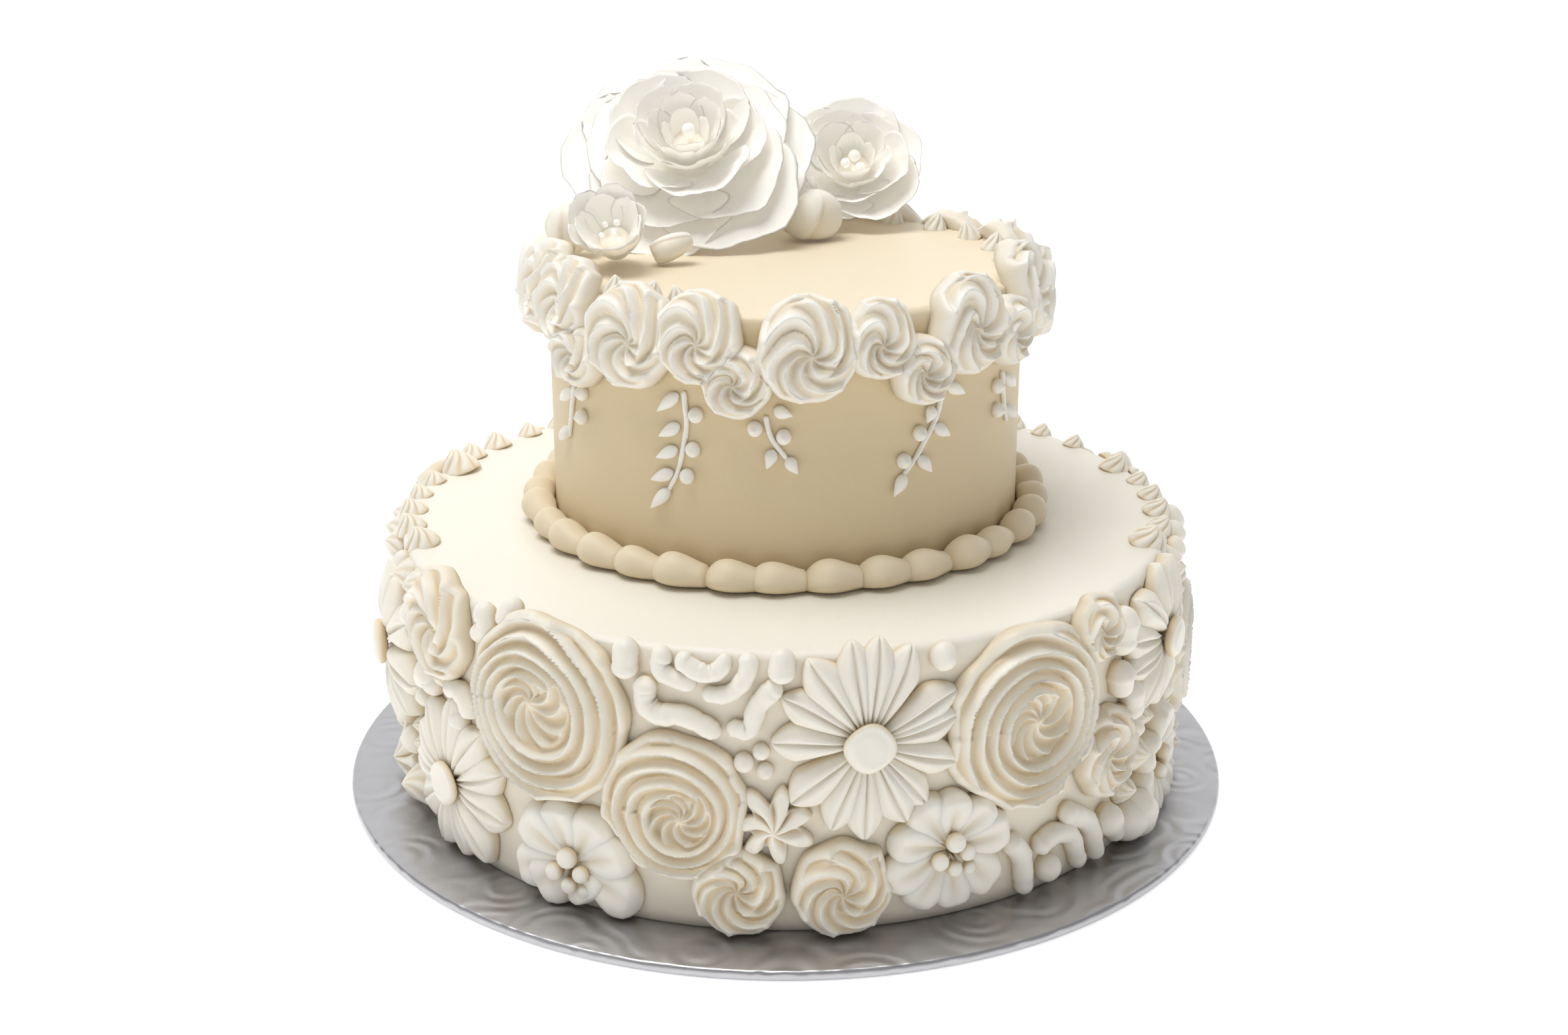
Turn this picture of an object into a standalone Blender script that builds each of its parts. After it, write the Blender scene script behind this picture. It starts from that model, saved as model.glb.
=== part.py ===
"""Two-tier wedding cake on a round foil-covered cake board.

The lower tier is a 10 inch round and the upper tier a 6 inch round, both iced.
Piped flowers cover the lower tier's side, a row of swirls hangs from the upper tier's
rim, small vines trail below the swirls, and a bead border closes the upper tier's foot.
Sugar peonies and piped buds stand on the top. Lengths are in millimetres up to the
point where a mesh is made, and azimuths are in degrees, 0 at the front (-Y) and
growing towards +X.
"""

import math
import random
from collections import namedtuple

import bmesh
import bpy
from mathutils import Matrix, Vector

MM = 0.001
TOUCH_GAP = 0.3

# Cake board
BOARD_RADIUS = 152.7
BOARD_THICKNESS = 3.4

# Tiers: the map radius is that of the icing flowers' middle, where widths are true
Tier = namedtuple("Tier", "radius map_radius foot top steps edge")
LOWER = Tier(130.0, 136.0, BOARD_THICKNESS + TOUCH_GAP, 94.0, 56, 2.4)
UPPER = Tier(78.4, 84.0, 94.0 + TOUCH_GAP, 179.5, 48, 1.8)

# Bead border at the upper tier's foot
BEAD_COUNT = 33
BEAD_HEIGHT = 10.2
BEAD_DEPTH = 11.0
BEAD_SIDES = 5
# Fullness of a bead at its seam, head and tail
BEAD_FULLNESS = (0.52, 1.0, 0.86)

# Piped flowers: kind, azimuth, height of the centre, radius, arms or petals, relief
Flower = namedtuple("Flower", "name kind azimuth z radius count relief")

LOWER_FLOWERS = [
    Flower("swirl_front_left", "swirl", -33.0, 67.0, 29.5, 8, 9.5),
    Flower("swirl_front_middle", "swirl", -14.5, 44.0, 23.2, 7, 9.0),
    Flower("swirl_foot_left", "swirl", -6.0, 18.0, 14.2, 6, 8.5),
    Flower("swirl_foot_right", "swirl", 7.3, 19.0, 15.5, 6, 8.5),
    Flower("swirl_front_right", "swirl", 33.2, 64.5, 29.5, 8, 9.5),
    Flower("daisy_front", "daisy", 10.3, 66.0, 29.6, 14, 8.0),
    Flower("blossom_front_left", "blossom", -29.5, 18.0, 24.5, 7, 7.0),
    Flower("blossom_front_right", "blossom", 21.8, 27.5, 23.0, 8, 7.0),
    Flower("star_front", "star", -1.5, 40.0, 13.0, 7, 8.0),
    Flower("daisy_left", "daisy", -52.5, 29.0, 28.5, 11, 8.0),
    Flower("swirl_left_rim", "swirl", -54.5, 81.0, 17.5, 6, 8.5),
    Flower("daisy_far_left", "daisy", -75.0, 58.0, 29.5, 10, 13.0),
    Flower("star_left", "star", -74.0, 16.5, 13.0, 7, 8.5),
    Flower("rosebud_right_rim", "swirl", 45.5, 86.0, 10.5, 5, 8.0),
    Flower("swirl_right", "swirl", 49.5, 42.0, 15.0, 6, 8.0),
    Flower("daisy_right", "daisy", 64.0, 70.0, 25.5, 11, 11.0),
    Flower("blossom_right", "blossom", 67.5, 22.0, 20.5, 7, 8.5),
    Flower("swirl_far_right", "swirl", 86.5, 48.0, 27.0, 7, 10.5),
    Flower("blossom_back_right", "blossom", 108.0, 27.0, 25.0, 6, 7.5),
    Flower("daisy_back_right", "daisy", 111.5, 73.0, 24.5, 9, 8.0),
    Flower("swirl_back_right", "swirl", 134.0, 52.0, 28.5, 7, 9.5),
    Flower("star_back", "star", 152.0, 80.0, 14.0, 7, 8.0),
    Flower("blossom_back", "blossom", 156.0, 32.0, 26.0, 6, 7.5),
    Flower("swirl_back", "swirl", 174.0, 63.0, 23.5, 7, 9.0),
    Flower("daisy_back", "daisy", -162.0, 44.0, 28.0, 9, 8.5),
    Flower("swirl_back_left", "swirl", -138.0, 56.0, 29.5, 7, 9.5),
    Flower("blossom_back_left", "blossom", -114.0, 29.0, 25.5, 6, 7.5),
    Flower("swirl_left_back_rim", "swirl", -108.0, 75.0, 20.0, 6, 9.0),
]

RIM_SWIRLS = [
    Flower("rim_swirl_01", "swirl", -73.0, 176.5, 13.5, 6, 9.5),
    Flower("rim_swirl_02", "swirl", -57.0, 175.5, 13.0, 6, 9.5),
    Flower("rim_swirl_03", "swirl", -51.5, 161.0, 10.5, 5, 7.5),
    Flower("rim_swirl_04", "swirl", -35.0, 170.0, 15.5, 6, 10.0),
    Flower("rim_swirl_05", "swirl", -18.3, 172.0, 13.5, 6, 10.0),
    Flower("rim_swirl_06", "swirl", -10.2, 160.0, 11.0, 5, 8.0),
    Flower("rim_swirl_07", "swirl", 4.5, 169.5, 15.5, 6, 10.5),
    Flower("rim_swirl_08", "swirl", 20.0, 171.5, 11.5, 5, 9.5),
    Flower("rim_swirl_09", "swirl", 30.5, 161.0, 10.8, 5, 8.5),
    Flower("rim_swirl_10", "swirl", 43.5, 172.0, 15.0, 6, 10.5),
    Flower("rim_swirl_11", "swirl", 58.5, 166.0, 10.8, 5, 9.0),
    Flower("rim_swirl_12", "swirl", 71.5, 176.5, 14.0, 6, 10.0),
    Flower("rim_swirl_13", "swirl", 90.0, 168.5, 15.0, 6, 9.5),
    Flower("rim_swirl_14", "swirl", 111.0, 171.0, 14.5, 5, 9.5),
    Flower("rim_swirl_15", "swirl", 132.0, 168.5, 15.5, 6, 9.5),
    Flower("rim_swirl_16", "swirl", 153.0, 171.0, 14.5, 5, 9.5),
    Flower("rim_swirl_17", "swirl", 174.5, 168.5, 15.5, 6, 9.5),
    Flower("rim_swirl_18", "swirl", -163.5, 171.0, 15.0, 5, 9.5),
    Flower("rim_swirl_19", "swirl", -141.5, 168.5, 15.5, 6, 9.5),
    Flower("rim_swirl_20", "swirl", -119.0, 171.0, 15.0, 5, 9.5),
    Flower("rim_swirl_21", "swirl", -95.5, 168.5, 15.5, 6, 9.5),
]

# Short piped strands on the lower tier: azimuth and height of each bend, half width
STRANDS = [
    ([(-20.5, 91.0), (-20.6, 86.0)], 2.9),
    ([(-15.6, 91.5), (-16.3, 87.4), (-12.2, 84.0)], 2.2),
    ([(-12.8, 90.5), (-9.6, 87.2), (-7.6, 91.0)], 2.1),
    ([(-4.6, 91.5), (-4.8, 86.0), (-7.4, 81.5), (-9.6, 81.6)], 2.1),
    ([(-17.8, 82.0), (-17.6, 74.5), (-13.0, 73.4), (-9.2, 70.4)], 2.5),
    ([(-2.6, 82.0), (-4.4, 75.5), (-5.2, 69.6), (-7.4, 71.0)], 2.3),
    ([(-0.6, 91.5), (-0.7, 89.0)], 2.6),
    ([(33.4, 22.5), (34.0, 8.5)], 2.6),
    ([(37.8, 22.5), (42.4, 19.5), (44.6, 8.0)], 2.6),
    ([(38.8, 10.0), (39.4, 12.0)], 4.6),
    ([(46.4, 23.0), (49.6, 7.5)], 2.6),
    ([(54.0, 17.0), (54.8, 10.0)], 4.0),
    ([(-43.8, 92.0), (-42.6, 88.0), (-44.8, 85.0)], 2.4),
    ([(-58.5, 60.5), (-61.0, 57.5)], 3.4),
    ([(-47.6, 57.0), (-49.6, 62.5), (-52.6, 60.6)], 2.6),
    ([(52.0, 84.0), (51.8, 78.0)], 3.4),
    ([(55.6, 57.0), (56.2, 50.5)], 3.0),
]

# Pearls of icing on the lower tier: azimuth, height, radius
PEARLS = [
    (-5.3, 59.8, 3.1),
    (-3.4, 64.0, 2.6),
    (-3.6, 56.4, 2.7),
    (20.3, 90.0, 3.9),
    (15.4, 41.5, 2.4),
]

# Blobs of icing in the gaps of the sides and back, and along the lower rim at the back
BLOB_AREA_START = 57.0
BLOB_COLUMNS = 34
BLOB_ROWS = 8
BLOB_SPACING = 56.0
BLOB_LEAST = 3.6
BLOB_MOST = 4.6
RIM_BLOB_SPAN = (72.0, 288.0)
RIM_BLOB_COUNT = 7
RIM_BLOB_RADIUS = 6.4

# Vines: stem bends, berries, and leaves from base to tip, all by azimuth and height
VINE_STEM = 0.95
BERRY_RADIUS = 2.8
LEAF_HALF_WIDTH = 2.3
Vine = namedtuple("Vine", "stem berries leaves")
VINES = [
    Vine(
        [(-22.9, 155.0), (-22.2, 144.0), (-24.4, 129.5), (-27.0, 123.0)],
        [(-20.0, 148.0), (-20.8, 137.0), (-22.3, 128.2)],
        [
            ((-24.2, 154.0), (-29.3, 147.8)),
            ((-24.0, 144.2), (-29.0, 140.0)),
            ((-24.6, 136.6), (-29.8, 133.0)),
            ((-25.8, 129.0), (-31.3, 125.5)),
            ((-26.8, 123.4), (-31.5, 116.0)),
        ],
    ),
    Vine(
        [(-4.4, 149.0), (-3.3, 142.0), (0.4, 135.4)],
        [(-6.7, 145.0), (-0.4, 142.6)],
        [
            ((-2.6, 151.0), (1.6, 149.4)),
            ((-2.6, 138.6), (-4.1, 132.6)),
            ((0.3, 136.0), (2.7, 131.0)),
        ],
    ),
    Vine(
        [(37.6, 153.0), (36.2, 144.5), (30.2, 132.0), (27.2, 127.4)],
        [(31.2, 140.2), (27.2, 132.2)],
        [
            ((38.6, 154.0), (43.9, 150.0)),
            ((35.0, 148.0), (32.6, 143.4)),
            ((35.4, 141.6), (39.5, 137.6)),
            ((31.2, 132.8), (34.4, 127.2)),
            ((27.8, 127.8), (24.4, 121.4)),
        ],
    ),
    Vine(
        [(-58.0, 148.0), (-59.5, 140.0), (-61.5, 130.0)],
        [(-53.6, 147.0), (-54.2, 139.0)],
        [((-59.2, 146.0), (-64.5, 141.0)), ((-61.0, 133.0), (-66.0, 127.0))],
    ),
    Vine(
        [(60.5, 152.0), (61.5, 143.0), (64.5, 134.0)],
        [(57.6, 148.0), (58.0, 140.0)],
        [((62.0, 150.0), (67.5, 144.5)), ((63.6, 139.0), (69.0, 133.5))],
    ),
    Vine(
        [(121.0, 154.0), (119.6, 143.0), (117.0, 133.0)],
        [(117.4, 148.0)],
        [((121.5, 148.0), (126.5, 143.0)), ((117.5, 134.0), (114.5, 127.0))],
    ),
    Vine(
        [(-131.0, 154.0), (-130.0, 143.0), (-127.0, 133.0)],
        [(-127.4, 148.0)],
        [((-131.5, 148.0), (-136.5, 143.0)), ((-127.5, 134.0), (-124.5, 127.0))],
    ),
]

# Small piped shells standing on the top's edge: azimuth, distance from the axis
EDGE_SHELLS = [(-47.0, 71.5), (-36.5, 69.5), (-27.0, 70.0)]
EDGE_SHELL_SPAN = (88.0, 178.0)
EDGE_SHELL_STEP = 15.0
EDGE_SHELL_DISTANCE = 72.0
EDGE_SHELL_RADIUS = 4.2
EDGE_SHELL_HEIGHT = 6.5

# Sugar flowers: each ring of petals by its size, cup and turn
Ring = namedtuple("Ring", "petals radius lift base rise spread turn")
PETAL_THICKNESS = 1.1
# How much further out and up each petal of a ring lies than the one before
PETAL_STEP = 0.6
PETAL_LIFT = 1.7


def remove_everything():
    """Empties the scene."""
    for thing in list(bpy.data.objects):
        bpy.data.objects.remove(thing, do_unlink=True)


def finish(name, color, roughness, metallic=0.0):
    """Returns a new Principled material."""
    material = bpy.data.materials.new(name)
    material.use_nodes = True
    shader = material.node_tree.nodes["Principled BSDF"]
    shader.inputs["Base Color"].default_value = (*color, 1.0)
    shader.inputs["Roughness"].default_value = roughness
    shader.inputs["Metallic"].default_value = metallic
    return material


def add_object(name, mesh, material, home):
    """Links a new object with this mesh and material to a collection."""
    mesh.materials.clear()
    mesh.materials.append(material)
    thing = bpy.data.objects.new(name, mesh)
    home.objects.link(thing)
    return thing


def mesh_from(bm, name):
    """Turns a bmesh into a smooth-shaded mesh and frees it."""
    mesh = bpy.data.meshes.new(name)
    bm.to_mesh(mesh)
    bm.free()
    mesh.shade_smooth()
    mesh.set_sharp_from_angle(angle=math.radians(50.0))
    return mesh


def on_side(tier, azimuth, z, stand):
    """Returns the point that stands this far proud of a tier's side, in metres."""
    angle = math.radians(azimuth)
    reach = (tier.radius + stand) * MM
    return Vector((reach * math.sin(angle), -reach * math.cos(angle), z * MM))


def turned(name, profile, steps, material, home):
    """Makes a turned solid from a profile that runs down its outer side."""
    mesh = bpy.data.meshes.new(name)
    points = [(radius * MM, 0.0, z * MM) for radius, z in profile]
    edges = [(i, i + 1) for i in range(len(points) - 1)]
    mesh.from_pydata(points, edges, [])
    thing = add_object(name, mesh, material, home)
    screw = thing.modifiers.new("Turn", "SCREW")
    screw.axis = "Z"
    screw.steps = steps
    screw.render_steps = steps
    screw.use_merge_vertices = True
    screw.merge_threshold = 0.00001
    screw.use_smooth_shade = True
    return thing


def tier_profile(tier):
    """Returns the profile of an iced round with a softened upper edge."""
    soft = tier.edge
    return [
        (0.0, tier.top),
        (tier.radius - soft, tier.top),
        (tier.radius, tier.top - soft),
        (tier.radius, tier.foot),
        (0.0, tier.foot),
    ]


def wrapped(degrees):
    """Brings an azimuth difference into -180 to 180."""
    return (degrees + 180.0) % 360.0 - 180.0


def cell_walls(flower, neighbours, tier):
    """Finds the straight walls that keep a flower off its neighbours and the foot.

    Each wall is a unit direction on the unrolled side and its distance from the
    flower's centre, halfway into the overlap of the two outlines.
    """
    walls = [((0.0, -1.0), flower.z - tier.foot - TOUCH_GAP)]
    for other in neighbours:
        if other is flower:
            continue
        across = math.radians(wrapped(other.azimuth - flower.azimuth)) * tier.map_radius
        up = other.z - flower.z
        apart = math.hypot(across, up)
        if apart >= flower.radius + other.radius + TOUCH_GAP:
            continue
        share = (apart**2 + flower.radius**2 - other.radius**2) / (2.0 * apart)
        walls.append(((across / apart, up / apart), share - 0.75 * TOUCH_GAP))
    return walls


def reach_to(angle, radius, walls):
    """Returns how far an outline of this radius gets before it meets a wall."""
    reach = radius
    for (right, up), distance in walls:
        facing = math.cos(angle) * right + math.sin(angle) * up
        if facing > 0.001:
            reach = min(reach, distance / facing)
    return reach


def blend(stops, share):
    """Reads a height profile given as (share of radius, value) stops."""
    for (low, first), (high, second) in zip(stops, stops[1:]):
        if share <= high:
            mix = (share - low) / (high - low)
            return first + (second - first) * mix
    return stops[-1][1]


# Height profiles from the centre to the edge, as shares of a flower's relief
SWIRL_DOME = [(0.0, 0.62), (0.22, 0.74), (0.55, 0.95), (0.8, 0.9), (1.0, 0.3)]
DAISY_RIDGE = [(0.0, 1.0), (0.26, 0.86), (0.34, 0.5), (0.7, 0.68), (1.0, 0.22)]
DAISY_VALLEY = [(0.0, 1.0), (0.26, 0.86), (0.34, 0.36), (0.7, 0.3), (1.0, 0.12)]
BLOSSOM_PETAL = [(0.0, 0.9), (0.3, 0.6), (0.75, 0.84), (1.0, 0.28)]
BLOSSOM_VALLEY = [(0.0, 0.9), (0.3, 0.34), (0.75, 0.2), (1.0, 0.12)]
STAR_RIDGE = [(0.0, 1.0), (0.5, 0.62), (1.0, 0.25)]
STAR_VALLEY = [(0.0, 1.0), (0.5, 0.36), (1.0, 0.12)]


def swirl_shape(share, column):
    """Shapes a swirl: every other column is the crest of a winding ridge."""
    crest = column % 2 == 0
    ridge = 0.11 if crest else -0.11
    fade = math.sin(math.pi * min(1.0, share * 0.9 + 0.08))
    return (1.0 if crest else 0.945), blend(SWIRL_DOME, share) + ridge * fade


def daisy_shape(share, column):
    """Shapes a daisy: pointed petals with deep valleys round a domed disc."""
    if column % 2 == 0:
        return 1.0 - 0.07 * (column % 3), blend(DAISY_RIDGE, share)
    inner = min(1.0, 0.34 / max(share, 0.34))
    return inner + (1.0 - inner) * 0.58, blend(DAISY_VALLEY, share)


def blossom_shape(share, column):
    """Shapes a blossom: round petals, each with one valley and two shoulders."""
    if column % 3:
        return 1.0 - 0.05 * ((column // 3) % 2), blend(BLOSSOM_PETAL, share)
    inner = min(1.0, 0.3 / max(share, 0.3))
    return inner + (1.0 - inner) * 0.62, blend(BLOSSOM_VALLEY, share)


def star_shape(share, column):
    """Shapes a drop star: ridges to its points and a peak in the middle."""
    if column % 2 == 0:
        return 1.0 - 0.06 * (column % 3), blend(STAR_RIDGE, share)
    return 0.7, blend(STAR_VALLEY, share)


Build = namedtuple("Build", "shape per_petal rings twist")
BUILDS = {
    "swirl": Build(swirl_shape, 2, (0.18, 0.5, 0.8, 1.0), -2.4),
    "daisy": Build(daisy_shape, 2, (0.26, 0.36, 0.7, 1.0), 0.0),
    "blossom": Build(blossom_shape, 3, (0.3, 0.75, 1.0), 0.0),
    "star": Build(star_shape, 2, (0.5, 1.0), -0.5),
}
LARGE_SWIRL_RINGS = (0.14, 0.36, 0.6, 0.84, 1.0)
SMALL_SWIRL_RINGS = (0.28, 0.68, 1.0)


def relief_flower(flower, neighbours, tier, material, home):
    """Makes one piped flower that lies on a tier's side.

    A UV sphere gives the closed mesh. Its upper rows become the flower's front,
    row by row from the centre to the edge, and its lower rows the back that
    follows the tier's side.
    """
    build = BUILDS[flower.kind]
    rings = build.rings
    if flower.kind == "swirl" and flower.radius > 20.0:
        rings = LARGE_SWIRL_RINGS
    elif flower.kind == "swirl" and flower.radius < 16.0:
        rings = SMALL_SWIRL_RINGS
    columns = flower.count * build.per_petal
    rows = len(rings) + 2
    walls = cell_walls(flower, neighbours, tier)
    # A flat-sided back stands off the round tier by the depth of its chord
    back_stand = TOUCH_GAP + flower.radius**2 / (8.0 * tier.radius)

    bm = bmesh.new()
    bmesh.ops.create_uvsphere(bm, u_segments=columns, v_segments=rows, radius=1.0)
    for vert in bm.verts:
        row = round(math.acos(max(-1.0, min(1.0, vert.co.z))) / math.pi * rows)
        angle = math.atan2(vert.co.y, vert.co.x) if 0 < row < rows else 0.0
        column = round(angle / (2.0 * math.pi) * columns) % columns
        front = row <= len(rings)
        if front:
            share = rings[row - 1] if row else 0.0
        else:
            share = float(rows - row)
        scale, height = build.shape(share, column)
        if not front:
            scale = build.shape(1.0, column)[0]
        angle += build.twist * (share if front else 1.0)
        radius = share * scale * reach_to(angle, flower.radius, walls)
        across = radius * math.cos(angle)
        up = radius * math.sin(angle)
        stand = max(height * flower.relief, back_stand + 0.8) if front else back_stand
        turn = across / tier.map_radius
        reach = (tier.radius + stand) * MM
        vert.co = Vector((reach * math.sin(turn), -reach * math.cos(turn), up * MM))
    bm.normal_update()
    thing = add_object(flower.name, mesh_from(bm, flower.name), material, home)
    thing.rotation_euler.z = math.radians(flower.azimuth)
    thing.location.z = flower.z * MM
    return thing


def room_at(azimuth, z, flowers, tier):
    """Returns the distance on the unrolled side to the nearest flower's outline."""
    best = 1000.0
    for flower in flowers:
        across = math.radians(wrapped(azimuth - flower.azimuth)) * tier.map_radius
        best = min(best, math.hypot(across, z - flower.z) - flower.radius)
    return best


def tube(name, points, half_width, resolution, home, taper=1.0):
    """Makes a capped round tube through these points, as a closed mesh."""
    data = bpy.data.curves.new(name, "CURVE")
    data.dimensions = "3D"
    data.bevel_depth = half_width * MM
    data.bevel_resolution = resolution
    data.use_fill_caps = True
    line = data.splines.new("POLY")
    line.points.add(len(points) - 1)
    for index, point in enumerate(points):
        line.points[index].co = (*point, 1.0)
        line.points[index].radius = 1.0 + (taper - 1.0) * index / (len(points) - 1)
    curve = bpy.data.objects.new(name + "_path", data)
    home.objects.link(curve)
    bpy.context.view_layer.update()
    depsgraph = bpy.context.evaluated_depsgraph_get()
    mesh = bpy.data.meshes.new_from_object(curve.evaluated_get(depsgraph))
    bpy.data.objects.remove(curve, do_unlink=True)
    bm = bmesh.new()
    bm.from_mesh(mesh)
    bmesh.ops.remove_doubles(bm, verts=bm.verts, dist=0.00001)
    bmesh.ops.recalc_face_normals(bm, faces=bm.faces)
    bm.to_mesh(mesh)
    bm.free()
    thing = bpy.data.objects.new(name, mesh)
    home.objects.link(thing)
    return thing


def ball(name, centre, radius, home, columns, rows):
    """Makes a small faceted ball of icing."""
    bm = bmesh.new()
    bmesh.ops.create_uvsphere(bm, u_segments=columns, v_segments=rows, radius=radius * MM)
    bmesh.ops.translate(bm, vec=centre, verts=bm.verts)
    mesh = bpy.data.meshes.new(name)
    bm.to_mesh(mesh)
    bm.free()
    thing = bpy.data.objects.new(name, mesh)
    home.objects.link(thing)
    return thing


def leaf(name, base, tip, half_width, home):
    """Makes a small pointed leaf of icing between two points."""
    along = tip - base
    bm = bmesh.new()
    bmesh.ops.create_uvsphere(bm, u_segments=3, v_segments=3, radius=1.0)
    for vert in bm.verts:
        round_end = 0.5 - 0.5 * vert.co.z
        narrow = 1.15 - 0.6 * round_end
        vert.co.x *= half_width * MM * narrow
        vert.co.y *= half_width * MM * narrow
        vert.co.z = round_end * along.length
    turn = along.to_track_quat("Z", "Y").to_matrix().to_4x4()
    bmesh.ops.transform(bm, matrix=Matrix.Translation(base) @ turn, verts=bm.verts)
    bmesh.ops.recalc_face_normals(bm, faces=bm.faces)
    mesh = bpy.data.meshes.new(name)
    bm.to_mesh(mesh)
    bm.free()
    thing = bpy.data.objects.new(name, mesh)
    home.objects.link(thing)
    return thing


def fuse(base, toppings):
    """Joins a collection of toppings to a solid with one Boolean union."""
    union = base.modifiers.new("Toppings", "BOOLEAN")
    union.operation = "UNION"
    union.operand_type = "COLLECTION"
    union.collection = toppings
    union.solver = "EXACT"
    bpy.context.view_layer.update()
    depsgraph = bpy.context.evaluated_depsgraph_get()
    material = base.data.materials[0]
    mesh = bpy.data.meshes.new_from_object(base.evaluated_get(depsgraph))
    mesh.materials.clear()
    mesh.materials.append(material)
    for polygon in mesh.polygons:
        polygon.material_index = 0
    base.modifiers.clear()
    base.data = mesh
    mesh.shade_smooth()
    mesh.set_sharp_from_angle(angle=math.radians(40.0))
    for thing in list(toppings.objects):
        bpy.data.objects.remove(thing, do_unlink=True)
    bpy.data.collections.remove(toppings)


def topping_group(name):
    """Returns a new collection for the pieces that a union will take in."""
    group = bpy.data.collections.new(name)
    bpy.context.scene.collection.children.link(group)
    return group


def make_board(material, home):
    """Makes the foil-covered board with its turned-down edge."""
    profile = [
        (0.0, BOARD_THICKNESS),
        (BOARD_RADIUS - 0.9, BOARD_THICKNESS),
        (BOARD_RADIUS, BOARD_THICKNESS - 0.9),
        (BOARD_RADIUS, 0.0),
        (0.0, 0.0),
    ]
    return turned("cake_board", profile, 64, material, home)


def make_lower_tier(material, home):
    """Makes the lower round with its short strands and pearls of icing."""
    tier = turned("lower_tier", tier_profile(LOWER), LOWER.steps, material, home)
    group = topping_group("lower_toppings")
    for number, (bends, half_width) in enumerate(STRANDS):
        clear = [
            bend for bend in bends
            if room_at(*bend, LOWER_FLOWERS, LOWER) > half_width + TOUCH_GAP
        ]
        if len(clear) > 1:
            points = [on_side(LOWER, az, z, 0.35 * half_width) for az, z in clear]
            tube(f"strand_{number}", points, half_width, 1, group, 0.8)
    for number, (az, z, radius) in enumerate(PEARLS):
        centre = on_side(LOWER, az, z, 0.3 * radius)
        ball(f"pearl_{number}", centre, radius, group, 5, 3)
    fill_gaps(group)
    first, last = RIM_BLOB_SPAN
    for number in range(RIM_BLOB_COUNT):
        azimuth = first + (last - first) * number / (RIM_BLOB_COUNT - 1)
        radius = RIM_BLOB_RADIUS * (1.0 + 0.14 * math.sin(4.1 * number))
        centre = on_side(LOWER, azimuth, LOWER.top + 0.2 * radius, -0.9 * radius)
        ball(f"rim_blob_{number}", centre, radius, group, 5, 4)
    fuse(tier, group)
    return tier


def fill_gaps(group):
    """Adds blobs of icing where the side and back still show bare icing."""
    chance = random.Random(7)
    placed = []
    for column in range(BLOB_COLUMNS):
        for row in range(BLOB_ROWS):
            azimuth = BLOB_AREA_START + column * 7.4 + chance.uniform(-1.5, 1.5)
            z = 12.0 + row * 10.5 + chance.uniform(-2.5, 2.5)
            room = room_at(azimuth, z, LOWER_FLOWERS, LOWER)
            headroom = min(z - LOWER.foot - 0.6, LOWER.top - 1.5 - z)
            radius = min(BLOB_MOST, room - TOUCH_GAP, headroom)
            if radius < BLOB_LEAST:
                continue
            crowd = [
                math.hypot(math.radians(wrapped(azimuth - az)) * LOWER.map_radius, z - up)
                for az, up in placed
            ]
            if crowd and min(crowd) < BLOB_SPACING:
                continue
            placed.append((azimuth, z))
            centre = on_side(LOWER, azimuth, z, 0.25 * radius)
            ball(f"blob_{len(placed)}", centre, radius, group, 5, 3)


def make_upper_tier(material, home):
    """Makes the upper round with its vines and the small shells on its edge."""
    tier = turned("upper_tier", tier_profile(UPPER), UPPER.steps, material, home)
    group = topping_group("upper_toppings")
    for number, vine in enumerate(VINES):
        stem = [on_side(UPPER, az, z, 0.3) for az, z in vine.stem]
        tube(f"stem_{number}", stem, VINE_STEM, 0, group, 0.8)
        for index, (az, z) in enumerate(vine.berries):
            centre = on_side(UPPER, az, z, 0.9)
            ball(f"berry_{number}_{index}", centre, BERRY_RADIUS, group, 4, 3)
        for index, (base, tip) in enumerate(vine.leaves):
            leaf(
                f"leaf_{number}_{index}",
                on_side(UPPER, *base, 0.5),
                on_side(UPPER, *tip, 1.0),
                LEAF_HALF_WIDTH,
                group,
            )
    start, end = EDGE_SHELL_SPAN
    shells = list(EDGE_SHELLS)
    shells += [
        (start + EDGE_SHELL_STEP * index, EDGE_SHELL_DISTANCE)
        for index in range(int((end - start) / EDGE_SHELL_STEP))
    ]
    for number, (azimuth, distance) in enumerate(shells):
        edge_shell(f"shell_{number}", azimuth, distance, group)
    fuse(tier, group)
    return tier


def edge_shell(name, azimuth, distance, home):
    """Makes a small spiky shell of icing that stands on the upper tier's edge."""
    bm = bmesh.new()
    bmesh.ops.create_cone(
        bm,
        cap_ends=True,
        segments=4,
        radius1=EDGE_SHELL_RADIUS * MM,
        radius2=0.6 * MM,
        depth=(EDGE_SHELL_HEIGHT + 1.0) * MM,
    )
    centre_z = UPPER.top + 0.5 * EDGE_SHELL_HEIGHT - 0.5
    angle = math.radians(azimuth)
    place = Vector((distance * math.sin(angle), -distance * math.cos(angle), centre_z)) * MM
    bmesh.ops.translate(bm, vec=place, verts=bm.verts)
    mesh = bpy.data.meshes.new(name)
    bm.to_mesh(mesh)
    bm.free()
    thing = bpy.data.objects.new(name, mesh)
    home.objects.link(thing)
    return thing


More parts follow.
